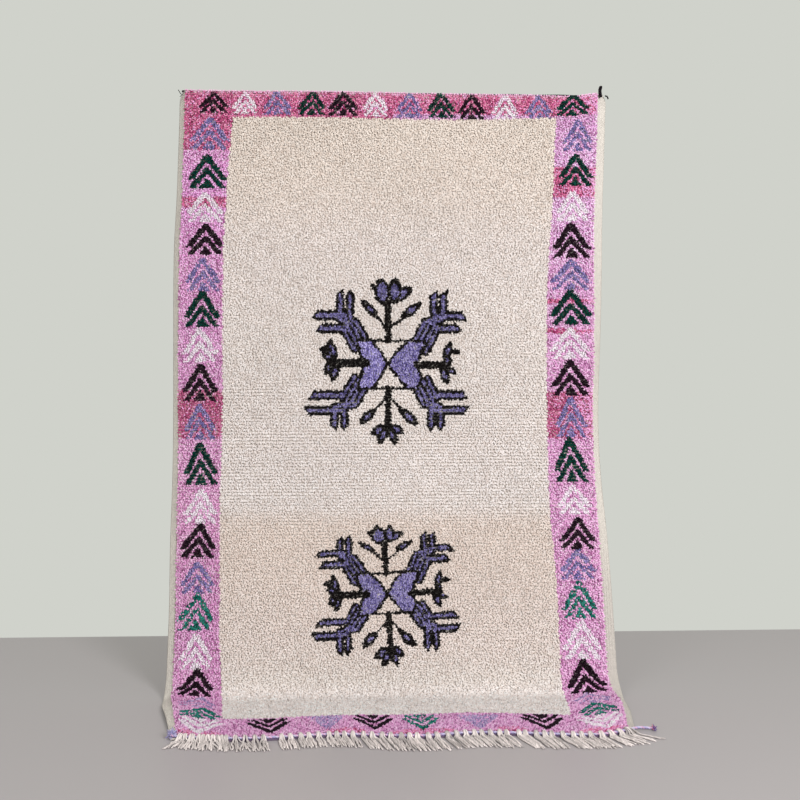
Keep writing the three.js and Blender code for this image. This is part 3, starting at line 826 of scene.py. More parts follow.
    def field_light_and_tone(self, across: np.ndarray, along: np.ndarray) -> np.ndarray:
        """Slow change of the undyed wool down the field, as factors on its colour: its own tone in the small
        sine patches, and painted light and shade in the rows, lighter or darker for how the light falls, much
        lighter from the bend onto the lying foot.

        Args:
            across: places across the rug.
            along: places along it.

        Returns:
            One row of three factors for each place.
        """
        broad = 0.02 * np.sin(across * 7.1 + 1.3 * np.sin(along * 5.3)) * np.sin(along * 9.7 + 0.8)
        fine = 0.022 * np.sin(across * 47 + 2.2 * np.sin(along * 13))
        fine = fine * np.sin(along * 39 + 1.7 * np.sin(across * 11))
        return tints(self.FIELD_ROWS, self.FIELD_LIGHT_AND_TONE, along) * (1.0 + (broad + fine)[..., None])

    def orchid_tint(self, share: np.ndarray, along: np.ndarray) -> np.ndarray:
        """Slow change of the pale pink down each side of the border, as factors on its colour.

        Args:
            share: places as shares of the width.
            along: places along the rug.

        Returns:
            One row of three factors for each place.
        """
        sides = [tints(self.ORCHID_ROWS, side, along) for side in (self.LEFT_TINTS, self.RIGHT_TINTS)]
        return np.where((share < 0.5)[..., None], *sides)

    def deep_tint(self, along: np.ndarray) -> np.ndarray:
        """The deeper pink is darker half way down the rug: one factor in a row for each place."""
        return (1.0 - 0.22 * ((along > 1.0) & (along < 1.25)))[..., None]


def yarn_colours(codes: np.ndarray, hand: np.random.Generator) -> np.ndarray:
    """A colour for each tuft: its dye, with the change from tuft to tuft of hand-dyed wool.

    Args:
        codes: the number of each tuft's dye.
        hand: source of the random changes.

    Returns:
        One row of three linear values for each tuft.
    """
    tone = np.clip(hand.normal(0.0, TONE_SPREAD, codes.shape), -1.0, 1.0)[..., None]
    deep, usual, pale = DYES[codes, 0], DYES[codes, 1], DYES[codes, 2]
    return usual + np.where(tone > 0, tone * (pale - usual), -tone * (deep - usual))


def deselect() -> None:
    """Leaves nothing selected."""
    bpy.ops.object.select_all(action="DESELECT")


@dataclass
class BarShape:
    """A short closed bar, modelled once and then laid along many lines. Its rings stand at whole heights.

    Attributes:
        sides: corners of its section.
        rings: rings along it, the root among them.
        pointed: its root and its tip are drawn in to points.
        lobes: how deep its section is drawn in at the middle, for a yarn of two plies.
        twist: turn of its section from ring to ring, in degrees.
    """

    sides: int
    rings: int
    pointed: bool = False
    lobes: float = 0.0
    twist: float = 0.0
    MOST_SPANS = 100
    ring: np.ndarray = field(init=False)
    offset: np.ndarray = field(init=False)
    corners: np.ndarray = field(init=False)
    starts: np.ndarray = field(init=False)
    around: np.ndarray = field(init=False)
    cell: np.ndarray = field(init=False)

    def __post_init__(self) -> None:
        """Models the bar and reads it."""
        deselect()
        depth = float(self.rings - 1)
        bpy.ops.mesh.primitive_cylinder_add(
            vertices=self.sides, radius=1.0, depth=depth, location=(0, 0, depth / 2), end_fill_type="NGON"
        )
        bar = bpy.context.object
        bpy.ops.object.transform_apply(location=True, rotation=True, scale=True)
        bpy.context.tool_settings.mesh_select_mode = (False, True, False)
        runs = self.runs(self.rings - 1)
        for parts in (runs, (self.rings - 1) // runs):
            if parts > 1:
                self.select_edges(bar, lambda a, b: abs(a.z - b.z) > 0.5)
                bpy.ops.object.mode_set(mode="EDIT")
                bpy.ops.mesh.subdivide(number_cuts=parts - 1)
                bpy.ops.object.mode_set(mode="OBJECT")
        for end in (0.0, depth) if self.pointed else ():
            self.select_edges(bar, lambda a, b: abs(a.z - end) < 0.5 and abs(b.z - end) < 0.5)
            bpy.ops.object.mode_set(mode="EDIT")
            bpy.ops.mesh.merge(type="CENTER")
            bpy.ops.object.mode_set(mode="OBJECT")
        self.read(bar.data)
        bpy.data.objects.remove(bar)

    @classmethod
    def runs(cls, spans: int) -> int:
        """How many long runs a bar of so many spans is first cut into."""
        return math.ceil(spans / cls.MOST_SPANS)

    @classmethod
    def rings_near(cls, wanted: float) -> int:
        """The number of rings nearest to a wanted one that the cuts can give."""
        runs = cls.runs(math.ceil(wanted))
        return runs * max(4 // runs, round((wanted - 1) / runs)) + 1

    @staticmethod
    def select_edges(bar: bpy.types.Object, wanted) -> None:
        """Selects the edges whose two ends pass a test."""
        mesh = bar.data
        for part in (mesh.vertices, mesh.edges, mesh.polygons):
            part.foreach_set("select", np.zeros(len(part), bool))
        for edge in mesh.edges:
            a, b = (mesh.vertices[i] for i in edge.vertices)
            if wanted(a.co, b.co):
                edge.select = a.select = b.select = True

    def read(self, mesh: bpy.types.Mesh) -> None:
        """Keeps the bar's points, faces and two maps of its surface.

        Args:
            mesh: the modelled bar.
        """
        places = np.zeros(len(mesh.vertices) * 3)
        mesh.vertices.foreach_get("co", places)
        places = places.reshape(-1, 3)
        self.ring = np.rint(places[:, 2]).astype(int)
        angle = np.arctan2(places[:, 1], places[:, 0])
        radius = np.hypot(places[:, 0], places[:, 1]) * (1.0 - self.lobes * np.sin(angle) ** 2)
        turned = angle + np.radians(self.twist) * self.ring
        self.offset = np.stack([radius * np.cos(turned), radius * np.sin(turned)], axis=-1)
        self.corners = np.zeros(len(mesh.loops), int)
        mesh.loops.foreach_get("vertex_index", self.corners)
        self.starts = np.zeros(len(mesh.polygons), int)
        mesh.polygons.foreach_get("loop_start", self.starts)
        share = (angle / (2 * np.pi)) % 1.0
        self.around = np.zeros((len(self.corners), 2))
        self.cell = np.zeros((len(self.corners), 2))
        ends = list(self.starts[1:]) + [len(self.corners)]
        for first, last in zip(self.starts, ends):
            picked = self.corners[first:last]
            rings = self.ring[picked]
            if rings.max() == rings.min():
                low = 0.06 if rings[0] == 0 else 0.3
                flat = places[picked, :2] * 0.07
                self.cell[first:last] = flat + (low + 0.1, 0.9)
                self.around[first:last] = places[picked, :2] * 0.2 + rings[0]
                continue
            turn = share[picked].copy()
            lone = np.hypot(*places[picked, :2].T) < 0.01
            others = turn[~lone]
            if others.max() - others.min() > 0.5:
                turn[turn < 0.5] += 1.0
                others = turn[~lone]
            turn[lone] = others.mean()
            height = rings / (self.rings - 1)
            self.around[first:last] = np.stack([turn, height], axis=-1)
            width = 1.0 + 1.0 / self.sides
            self.cell[first:last] = np.stack([0.04 + 0.92 * turn / width, 0.03 + 0.78 * height], axis=-1)

    @property
    def count(self) -> int:
        """Number of its points."""
        return len(self.ring)


@dataclass
class Bars:
    """Many bars laid along their own lines, joined in one mesh.

    Attributes:
        name: the piece's name.
        shape: the bar that is laid.
        lines: the places of each bar's rings.
        sides: a direction across each bar at each ring.
        ups: the other direction across it.
        radii: half its width at each ring, along sides and along ups.
        colours: its colour at each ring, with any painted shade and highlight.
        facing: the direction its light is softened towards, if any.
        soft: how much, from 0 to 1.
    """

    name: str
    shape: BarShape
    lines: np.ndarray
    sides: np.ndarray
    ups: np.ndarray
    radii: np.ndarray
    colours: np.ndarray
    facing: np.ndarray | None = None
    soft: np.ndarray | None = None

    def build(self, hand: np.random.Generator, columns: int) -> bpy.types.Object:
        """Makes the piece.

        Args:
            hand: source of the random start of each bar's fibre pattern.
            columns: bars in one row of the map for baking.

        Returns:
            The new object, at the origin, with its place in its mesh.
        """
        shape, count = self.shape, len(self.lines)
        ring = shape.ring
        x = shape.offset[:, 0] * self.radii[:, ring, 0]
        y = shape.offset[:, 1] * self.radii[:, ring, 1]
        points = self.lines[:, ring] + self.sides[:, ring] * x[..., None] + self.ups[:, ring] * y[..., None]
        base = (np.arange(count) * shape.count)[:, None]
        mesh = bpy.data.meshes.new(self.name)
        mesh.vertices.add(count * shape.count)
        mesh.vertices.foreach_set("co", points.astype(np.float32).ravel())
        corner_total = len(shape.corners)
        mesh.loops.add(count * corner_total)
        mesh.loops.foreach_set("vertex_index", (base + shape.corners).astype(np.int32).ravel())
        starts = (np.arange(count) * corner_total)[:, None] + shape.starts
        mesh.polygons.add(starts.size)
        mesh.polygons.foreach_set("loop_start", starts.astype(np.int32).ravel())
        mesh.polygons.foreach_set("use_smooth", np.ones(starts.size, bool))
        mesh.update(calc_edges=True)
        self.paint(mesh, ring)
        self.map(mesh, hand, columns)
        mesh.validate()
        if self.facing is not None:
            self.soften(mesh)
        piece = bpy.data.objects.new(self.name, mesh)
        bpy.context.scene.collection.objects.link(piece)
        return piece

    def soften(self, mesh: bpy.types.Mesh) -> None:
        """Turns the shading of each bar towards its facing, as loose fibres scatter the light."""
        normals = np.zeros(len(mesh.vertices) * 3, np.float32)
        mesh.vertices.foreach_get("normal", normals)
        normals = normals.reshape(len(self.lines), self.shape.count, 3)
        soft = self.soft[:, None, None]
        turned = unit(normals * (1.0 - soft) + self.facing[:, None] * soft)
        mesh.normals_split_custom_set_from_vertices(turned.reshape(-1, 3).tolist())

    def paint(self, mesh: bpy.types.Mesh, ring: np.ndarray) -> None:
        """Writes the colour of every point, painted shade and highlight included."""
        colours = np.ones((len(self.lines), len(ring), 4), np.float32)
        colours[..., :3] = self.colours[:, ring]
        mesh.attributes.new("yarn", "FLOAT_COLOR", "POINT").data.foreach_set("color", colours.ravel())

    def map(self, mesh: bpy.types.Mesh, hand: np.random.Generator, columns: int) -> None:
        """Writes the map that fibres follow, and the map for baking with a cell for each bar."""
        count = len(self.lines)
        rows = math.ceil(count / columns)
        number = np.arange(count)
        corner = np.stack([(number % columns) / columns, (number // columns) / rows], axis=-1)
        cells = corner[:, None] + self.shape.cell * (1.0 / columns, 1.0 / rows)
        mesh.uv_layers.new(name="fibre")
        mesh.uv_layers.new(name="OFBake")
        around = self.shape.around + hand.uniform(0, 50, (count, 1, 2)).round(2)
        mesh.uv_layers["fibre"].data.foreach_set("uv", around.astype(np.float32).ravel())
        mesh.uv_layers["OFBake"].data.foreach_set("uv", cells.astype(np.float32).ravel())


def line_axes(lines: np.ndarray, up: np.ndarray) -> tuple[np.ndarray, np.ndarray]:
    """Two directions across each line at each of its points.

    Args:
        lines: many lines of points.
        up: a direction that the second one keeps close to.

    Returns:
        The direction to the side and the one upwards.
    """
    way = unit(np.gradient(lines, axis=-2))
    side = unit(np.cross(up, way))
    return side, unit(np.cross(way, side))


def smooth_line(points: np.ndarray, count: int) -> np.ndarray:
    """Even points on a smooth curve through a few.

    Args:
        points: the points, as the last but one axis.
        count: how many even points to give.

    Returns:
        The points on the curve.
    """
    steps = np.arange(points.shape[-2], dtype=float)
    fine = np.linspace(0, steps[-1], 12 * len(steps))
    i = np.clip(fine.astype(int), 0, len(steps) - 2)
    t = (fine - i)[:, None]
    before, after = np.maximum(i - 1, 0), np.minimum(i + 2, len(steps) - 1)
    p0, p1, p2, p3 = (points[..., k, :] for k in (before, i, i + 1, after))
    bend = (2 * p0 - 5 * p1 + 4 * p2 - p3) * t**2
    turn = (3 * p1 - p0 - 3 * p2 + p3) * t**3
    curve = 0.5 * (2 * p1 + (p2 - p0) * t + bend + turn)
    gaps = np.linalg.norm(np.diff(curve, axis=-2), axis=-1)
    reach = np.concatenate([np.zeros(gaps.shape[:-1] + (1,)), np.cumsum(gaps, axis=-1)], axis=-1)
    flat, far = curve.reshape(-1, len(fine), 3), reach.reshape(-1, len(fine))
    even = np.empty((len(flat), count, 3))
    for row in range(len(flat)):
        places = np.linspace(0, far[row, -1], count)
        for axis in range(3):
            even[row, :, axis] = np.interp(places, far[row], flat[row, :, axis])
    return even.reshape(points.shape[:-2] + (count, 3))


class Nodes:
    """A material's nodes, with short calls to add and link them."""

    def __init__(self, name: str, roughness: float, sheen: float = 0.0) -> None:
        """Starts a material with its shader.

        Args:
            name: the material's name.
            roughness: of the shader.
            sheen: weight of the soft light of loose fibres.
        """
        self.material = bpy.data.materials.new(name)
        self.material.use_nodes = True
        self.tree = self.material.node_tree
        self.shader = self.tree.nodes["Principled BSDF"]
        self.shader.inputs["Roughness"].default_value = roughness
        self.shader.inputs["Sheen Weight"].default_value = sheen
        self.shader.inputs["Sheen Roughness"].default_value = 0.6
        self.shader.inputs["Specular IOR Level"].default_value = 0.06

    def add(self, kind: str, **settings) -> bpy.types.Node:
        """Adds a node and sets what is named on it."""
        node = self.tree.nodes.new(kind)
        for key, value in settings.items():
            setattr(node, key, value)
        return node

    def link(self, start: bpy.types.NodeSocket, end: bpy.types.NodeSocket) -> None:
        """Links two sockets."""
        self.tree.links.new(start, end)

    def map_of(self, name: str, scale: tuple[float, float, float]) -> bpy.types.NodeSocket:
        """The coordinates of one of the piece's maps, scaled."""
        source = self.add("ShaderNodeUVMap", uv_map=name)
        stretch = self.add("ShaderNodeMapping")
        stretch.inputs["Scale"].default_value = scale
        self.link(source.outputs["UV"], stretch.inputs["Vector"])
        return stretch.outputs["Vector"]

    def place(self, scale: tuple[float, float, float] = (1, 1, 1)) -> bpy.types.NodeSocket:
        """The piece's own coordinates in metres, scaled."""
        source = self.add("ShaderNodeTexCoord")
        stretch = self.add("ShaderNodeMapping")
        stretch.inputs["Scale"].default_value = scale
        self.link(source.outputs["Object"], stretch.inputs["Vector"])
        return stretch.outputs["Vector"]

    def noise(self, where: bpy.types.NodeSocket, scale: float, detail: float = 2.0) -> bpy.types.NodeSocket:
        """A soft random pattern, from 0 to 1."""
        noise = self.add("ShaderNodeTexNoise")
        noise.inputs["Scale"].default_value = scale
        noise.inputs["Detail"].default_value = detail
        self.link(where, noise.inputs["Vector"])
        return noise.outputs["Fac"]

    def ranged(self, value: bpy.types.NodeSocket, low: float, high: float, to_low: float, to_high: float):
        """A value moved from one range to another."""
        node = self.add("ShaderNodeMapRange")
        for socket, number in zip(("From Min", "From Max", "To Min", "To Max"), (low, high, to_low, to_high)):
            node.inputs[socket].default_value = number
        self.link(value, node.inputs["Value"])
        return node.outputs["Result"]

    def scaled(self, colour: bpy.types.NodeSocket, factor: bpy.types.NodeSocket) -> bpy.types.NodeSocket:
        """A colour made lighter or darker by a factor."""
        node = self.add("ShaderNodeVectorMath", operation="SCALE")
        self.link(colour, node.inputs[0])
        self.link(factor, node.inputs["Scale"])
        return node.outputs["Vector"]

    def bump(self, height: bpy.types.NodeSocket, depth: float, strength: float = 1.0) -> None:
        """Raises the surface by a pattern."""
        node = self.add("ShaderNodeBump")
        node.inputs["Distance"].default_value = depth
        node.inputs["Strength"].default_value = strength
        self.link(height, node.inputs["Height"])
        self.link(node.outputs["Normal"], self.shader.inputs["Normal"])


@dataclass(frozen=True)
class YarnFinish:
    """Dyed wool whose colour, with its painted shade and highlight, each tuft or strand carries, with fine
    fibres along it.
    """

    name: str
    roughness: float = 0.95
    sheen: float = 0.03
    streaks: float = 9.0
    contrast: float = 0.2
    depth: float = 0.4 * MM

    def material(self) -> bpy.types.Material:
        """Makes the material."""
        nodes = Nodes(self.name, self.roughness, self.sheen)
        colour = nodes.add("ShaderNodeAttribute", attribute_name="yarn").outputs["Color"]
        fibres = nodes.noise(nodes.map_of("fibre", (self.streaks, 1.6, 1.0)), 1.0, 3.0)
        shade = nodes.ranged(fibres, 0.3, 0.7, 1.0 - self.contrast, 1.0 + self.contrast * 0.45)
        nodes.link(nodes.scaled(colour, shade), nodes.shader.inputs["Base Color"])
        nodes.bump(fibres, self.depth, 0.8)
        return nodes.material


@dataclass(frozen=True)
class WovenFinish:
    """The woven ground: backs of the knots between cream wefts, and the ribbed selvedge, with painted shade
    in the hollows between the knot backs.
    """

    name: str = "woven_ground"

    def material(self) -> bpy.types.Material:
        """Makes the material."""
        nodes = Nodes(self.name, 0.92, 0.05)
        colour = nodes.add("ShaderNodeAttribute", attribute_name="yarn").outputs["Color"]
        weave = nodes.map_of("weave", (1.0, 1.0, 1.0))
        knots = nodes.add("ShaderNodeTexVoronoi", feature="SMOOTH_F1")
        knots.inputs["Scale"].default_value = 1.0
        knots.inputs["Randomness"].default_value = 0.35
        knots.inputs["Smoothness"].default_value = 0.4
        nodes.link(weave, knots.inputs["Vector"])
        dome = nodes.ranged(knots.outputs["Distance"], 0.05, 0.6, 1.0, 0.0)
        fluff = nodes.noise(nodes.place(), 900.0, 2.0)
        # Painted shade: each knot back is darker towards its edges, in the hollows between knots.
        shade = nodes.ranged(dome, 0.0, 1.0, 0.74, 1.04)
        toned = nodes.scaled(colour, shade)
        flecks = nodes.ranged(fluff, 0.25, 0.75, 0.86, 1.1)
        nodes.link(nodes.scaled(toned, flecks), nodes.shader.inputs["Base Color"])
        blend = nodes.add("ShaderNodeMath", operation="MULTIPLY_ADD")
        nodes.link(fluff, blend.inputs[0])
        blend.inputs[1].default_value = 0.3
        nodes.link(dome, blend.inputs[2])
        nodes.bump(blend.outputs["Value"], 1.2 * MM, 0.9)
        return nodes.material


@dataclass(frozen=True)
class FloorFinish:
    """A plain pale floor with a faint gloss."""

    name: str = "pale_floor"
    colour: tuple[float, float, float] = (171, 165, 167)

    def material(self) -> bpy.types.Material:
        """Makes the material."""
        nodes = Nodes(self.name, 0.42)
        nodes.shader.inputs["Base Color"].default_value = (*linear(*self.colour), 1.0)
        nodes.shader.inputs["Specular IOR Level"].default_value = 0.35
        return nodes.material


def finished(
    piece: bpy.types.Object, material: bpy.types.Material, slot: str, *nodes: str
) -> bpy.types.Object:
    """Dresses a piece, hangs it on the body and hides the solids that it replaces.

    Args:
        piece: the piece.
        material: its finish.
        slot: the record's material slot; not used.
        nodes: the solids that it replaces.

    Returns:
        The same piece.
    """
    piece.data.materials.append(material)
    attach(piece, BODY)
    if nodes:
        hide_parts(*nodes)
    log.info("%s: %d faces", piece.name, len(piece.data.polygons))
    return piece


@dataclass
class GroundCloth:
    """The woven ground with its knots' backs, and the flat-woven selvedge down each side."""

    cloth: HangingCloth
    chart: RugChart
    name: str = "woven_ground"
    thick: float = 3.4 * MM
    columns: int = 150
    strip_columns: int = 8
    rows: int = 238
    rib_high: float = 0.6 * MM
    knot_wide: float = 4.6 * MM
    knot_long: float = 5.2 * MM
    mapped_wide: float = 1.43
    cream: tuple[float, float, float] = (251, 242, 233)
    web_shadow: tuple[float, float, float] = (120, 100, 126)
    # Factors down the left and right selvedge strips: painted light and shade, lighter or darker for how the
    # light falls on each turned strip.
    left_strip_light: Column = Column((0.0, 1.2, 1.8, 2.2), (0.97, 1.04, 1.0, 1.1))
    right_strip_light: Column = Column((0.9, 1.1, 1.5, 1.8, 2.2), (1.05, 1.06, 1.0, 0.86, 0.92))

    def places(self) -> tuple[np.ndarray, np.ndarray]:
        """Columns and rows of the sheet.

        Returns:
            For each column, a place from -1 to 0 over the left strip, 0 to 1 over the pile and 1 to 2 over
            the right strip. For each row, its place along the cloth.
        """
        strip = np.linspace(0, 1, self.strip_columns + 1)
        field_columns = np.linspace(0, 1, self.columns + 1)
        place = np.concatenate([strip - 1, field_columns[1:-1], strip + 1])
        return place, np.linspace(0, self.cloth.length, self.rows + 1)

    def surface(self, place: np.ndarray, along: np.ndarray) -> np.ndarray:
        """Points in the middle of the sheet.

        Args:
            place: column places, as places() gives them.
            along: row places.

        Returns:
            One row of x, y and z for each.
        """
        cloth = self.cloth
        left, right = cloth.left.at(along), cloth.right.at(along)
        inner = np.clip(place, 0, 1)
        points = cloth.point(left + (right - left) * inner, along, cloth.ground / 2)
        for side, edge, wide, turn, beyond in (
            (-1, left, cloth.wide_left, cloth.turn_left, np.clip(-place, 0, 1)),
            (1, right, cloth.wide_right, cloth.turn_right, np.clip(place - 1, 0, 1)),
        ):
            angle = np.radians(turn.at(along))
            far = wide.at(along) * beyond
            rib = self.rib_high * np.cos(beyond * self.strip_columns * np.pi)
            half = cloth.strip / 2 + rib
            high = -far * np.sin(angle) + half * np.cos(angle)
            strip = cloth.point(edge, along, high)
            strip[..., 0] = edge + side * (far * np.cos(angle) + half * np.sin(angle))
            points = np.where((beyond > 0)[..., None], strip, points)
        return points

    def build(self, finish: WovenFinish) -> bpy.types.Object:
        """Makes the sheet.

        Args:
            finish: its material.

        Returns:
            The piece.
        """
        place, along = self.places()
        across, down = len(place) - 1, len(along) - 1
        deselect()
        bpy.ops.mesh.primitive_grid_add(x_subdivisions=across, y_subdivisions=down, size=2.0)
        sheet = bpy.context.object
        sheet.name = sheet.data.name = self.name
        mesh = sheet.data
        grid = np.zeros(len(mesh.vertices) * 3)
        mesh.vertices.foreach_get("co", grid)
        grid = grid.reshape(-1, 3)
        column = np.rint((grid[:, 0] + 1) / 2 * across).astype(int)
        row = np.rint((1 - grid[:, 1]) / 2 * down).astype(int)
        mesh.vertices.foreach_set("co", self.surface(place[column], along[row]).astype(np.float32).ravel())
        self.paint(mesh, place, along, column, row)
        mesh.shade_smooth()
        mesh.update()
        wall = sheet.modifiers.new("thickness", "SOLIDIFY")
        wall.thickness = self.thick
        wall.offset = 0.0
        bpy.ops.object.modifier_apply(modifier=wall.name)
        return finished(sheet, finish.material(), "warp_yarn", "rug")

    def paint(
        self, mesh: bpy.types.Mesh, place: np.ndarray, along: np.ndarray, column: np.ndarray, row: np.ndarray
    ) -> None:
        """Colours each face as the knots there, with painted light and shade on the selvedge strips and
        painted shadows beside the left pile edge and on the bare ground at the foot, and maps the weave over
        the sheet.

        Args:
            mesh: the flat sheet.
            place: column places.
            along: row places.
            column: column of each point.
            row: row of each point.
        """
        corners = np.zeros(len(mesh.loops), int)
        mesh.loops.foreach_get("vertex_index", corners)
        faces = corners.reshape(-1, 4)
        middle_place = place[column[faces]].mean(axis=1)
        middle_along = along[row[faces]].mean(axis=1)
        left, right = self.cloth.left.at(middle_along), self.cloth.right.at(middle_along)
        across = left + (right - left) * middle_place
        hand = np.random.default_rng(SEED + 1)
        codes = self.chart.dyes(middle_place, across, middle_along)
        colours = yarn_colours(codes, hand)
        cream = linear(*self.cream)
        weft = hand.random(len(codes)) < 0.16
        plain = (middle_place < 0) | (middle_place > 1)
        web_shadow = ~plain & (middle_along > self.cloth.foot - 2 * MM)
        colours = 0.8 * colours + 0.2 * cream
        colours[weft] = 0.5 * (colours[weft] + cream)
        colours[plain] = cream * hand.uniform(0.92, 1.02, (int(plain.sum()), 1))
        # Painted light and shade along each selvedge strip.
        for side, tint in ((middle_place < 0, self.left_strip_light), (middle_place > 1, self.right_strip_light)):
            colours[side] *= tint.at(middle_along[side])[:, None]
        # Painted shadow: a dark brownish line on the left strip next to the pile, darker in random faces,
        # down to where the rug lies.
        edge = (middle_place < 0) & (middle_place > -0.13) & (middle_along < 2.2)
        colours[edge] *= hand.uniform(0.42, 0.9, (int(edge.sum()), 1)) * (1.0, 0.94, 0.9)
        # Painted shadow: the bare ground past the pile at the foot, under the cord and between the fringe
        # locks, is painted dark plum instead of its cream.
        colours[web_shadow] = linear(*self.web_shadow)
        spread = np.ones((len(codes), 4, 4), np.float32)
        spread[..., :3] = colours[:, None]
        mesh.attributes.new("yarn", "FLOAT_COLOR", "CORNER").data.foreach_set("color", spread.ravel())
        width = right - left
        metres = np.stack([place[column[corners]] * self.mapped_wide, along[row[corners]]], axis=-1)
        weave = metres / (self.knot_wide, self.knot_long)
        mesh.uv_layers.new(name="weave").data.foreach_set("uv", weave.astype(np.float32).ravel())
        log.info("ground %.3f m wide on average", float(width.mean()))


@dataclass
class Pile:
    """The cut pile: a tuft on every knot, in rows, joined in one mesh for each part of the rug."""

    cloth: HangingCloth
    chart: RugChart
    inset: float = 3.5 * MM
    first_row: float = 1.5 * MM
    reach: float = 7.0 * MM
    radius: float = 3.5 * MM
    cream_radius: float = 4.2 * MM
    dark_radius: float = 4.3 * MM
    dark_high: float = 1.13
    pairing: float = 0.9 * MM
    dye_place: float = 0.8
    soft: float = 0.5
    cream_soft: float = 0.75
    pairs: Column = Column((0.0, 0.9, 1.12, 1.42, 1.62, 2.4), (0.1, 0.2, 1.0, 1.0, 0.45, 0.2))
    strays: tuple = (
        (Dye.HOT_PINK, 0.4), (Dye.LILAC, 0.09), (Dye.WHITE, 0.05), (Dye.MAUVE, 0.15), (Dye.TEAL, 0.1),
    )
    shape: BarShape = field(init=False)

    def __post_init__(self) -> None:
        """Models the tuft."""
        self.shape = BarShape(sides=3, rings=3, pointed=True)

    def knots(self, hand: np.random.Generator) -> dict[str, np.ndarray]:
        """Where each knot sits on the cloth.

        Args:
            hand: source of the small changes from knot to knot.

        Returns:
            The knots' shares of the width, and places across and along.
        """
        cloth = self.cloth
        rows = int((cloth.foot - self.first_row) / KNOT_ALONG) + 1
        columns = round((cloth.right.at(1.0) - cloth.left.at(1.0) - 2 * self.inset) / KNOT_ACROSS)
        column, row = np.meshgrid(np.arange(columns), np.arange(rows))
        column, row = column.ravel(), row.ravel()
        even = self.first_row + row * KNOT_ALONG
        parity = np.where(row % 2 == 0, 1.0, -1.0)
        waves = np.sin(column * 0.055 + row * 0.37) + np.sin(column * 0.021 - row * 0.23)
        along = even + parity * self.pairing * self.pairs.at(even) * (0.9 + 0.3 * waves)
        along += hand.normal(0, 0.75 * MM, row.size)
        along = np.clip(along, self.first_row, cloth.foot - 1.5 * MM)
        left, right = cloth.left.at(along), cloth.right.at(along)
        step = (right - left - 2 * self.inset) / (columns - 1)
        shift = hand.normal(0, 0.8 * MM, row.size)
        across = left + self.inset + (column + 0.5 * (row % 2) - 0.25) * step + shift
        return {"share": (across - left) / (right - left), "across": across, "along": along}

    def lean(self, knots: dict[str, np.ndarray], hand: np.random.Generator) -> dict[str, np.ndarray]:
        """How far each tuft leans and how high it stands.

        Args:
            knots: the knots' places.
            hand: source of the change from tuft to tuft.

        Returns:
            How far each tip stands to the right and down the cloth, and how high.
        """
        cloth, across, along = self.cloth, knots["across"], knots["along"]
        count = len(across)
        at_left = np.clip(1 - (across - cloth.left.at(along)) / (10 * MM), 0, 1)
        at_right = np.clip(1 - (cloth.right.at(along) - across) / (10 * MM), 0, 1)
        whirl = np.sin(along * 6.0 + across * 3.0) + np.sin(across * 11.0 - along * 4.0)
        yaw = np.radians(hand.normal(0, 30, count) - 9.0 * whirl - 26.0 * (knots["share"] > 0.885))
        yaw += 0.9 * at_left - 0.9 * at_right
        reach = self.reach * hand.uniform(0.65, 1.25, count)
        high = cloth.pile * hand.uniform(0.84, 1.1, count)
        high *= 1.0 - 0.35 * np.maximum(at_left, at_right)
        rim = np.clip(1 - along / (14 * MM), 0, 1)
        return {"right": -reach * np.sin(yaw), "down": reach * np.cos(yaw) * (1 - 1.55 * rim), "high": high}

    def lay(
        self, knots: dict, lean: dict, codes: np.ndarray, hand: np.random.Generator
    ) -> dict[str, np.ndarray]:
        """Places of all tufts.

        Args:
            knots: the knots' places.
            lean: the tufts' leans and heights.
            codes: the tufts' dyes.
            hand: source of the change from tuft to tuft.

        Returns:
            Each tuft's rings, its two directions across and its half widths.
        """
        cloth, count = self.cloth, len(codes)
        right, down, off = cloth.axes(knots["across"], knots["along"])
        root = cloth.point(knots["across"], knots["along"], cloth.ground - 1.0 * MM)
        tip = right * lean["right"][:, None] + down * lean["down"][:, None]
        dark = np.isin(codes, [dye.number for dye in (Dye.BLACK, Dye.INK, Dye.GREEN, Dye.TEAL)])
        high = off * (lean["high"] * np.where(dark, self.dark_high, 1.0))[:, None]
        lines = np.stack([root, root + 0.64 * high + 0.42 * tip, root + high + tip], axis=1)
        side, up = line_axes(lines, off[:, None])
        spin = hand.uniform(0, 2 * np.pi, count)[:, None, None]
        sides = side * np.cos(spin) + up * np.sin(spin)
        ups = up * np.cos(spin) - side * np.sin(spin)
        wide = np.where(codes == Dye.CREAM.number, self.cream_radius, self.radius)
        wide = np.where(dark, self.dark_radius, wide) * hand.uniform(0.85, 1.18, count)
        radii = np.repeat(np.repeat(wide[:, None, None], 3, axis=1), 2, axis=2)
        soft = np.where(codes == Dye.CREAM.number, self.cream_soft, self.soft)
        return {"lines": lines, "sides": sides, "ups": ups, "radii": radii, "facing": off, "soft": soft}

    def mingle(
        self, colours: np.ndarray, codes: np.ndarray, share: np.ndarray, hand: np.random.Generator
    ) -> None:
        """Works stray tufts of pale pink into the border's yarns, and darker ones into the cream.

        Args:
            colours: the colour of each tuft, changed here.
            codes: the tufts' dyes.
            share: their places as shares of the width.
            hand: source of the random choice.
        """
        draw = hand.random(len(codes))
        faded = 0.12 + 0.7 * smooth(share, 0.93, 1.0)
        for dye, amount in (*self.strays, (Dye.DEEP_PINK, faded)):
            stray = (codes == dye.number) & (draw < amount)
            colours[stray] = DYES[Dye.ORCHID.number, 1] * hand.uniform(0.8, 1.12, (int(stray.sum()), 1))
        dull = (codes == Dye.CREAM.number) & (draw < 0.035)
        colours[dull] *= hand.uniform(0.72, 0.88, (int(dull.sum()), 1))

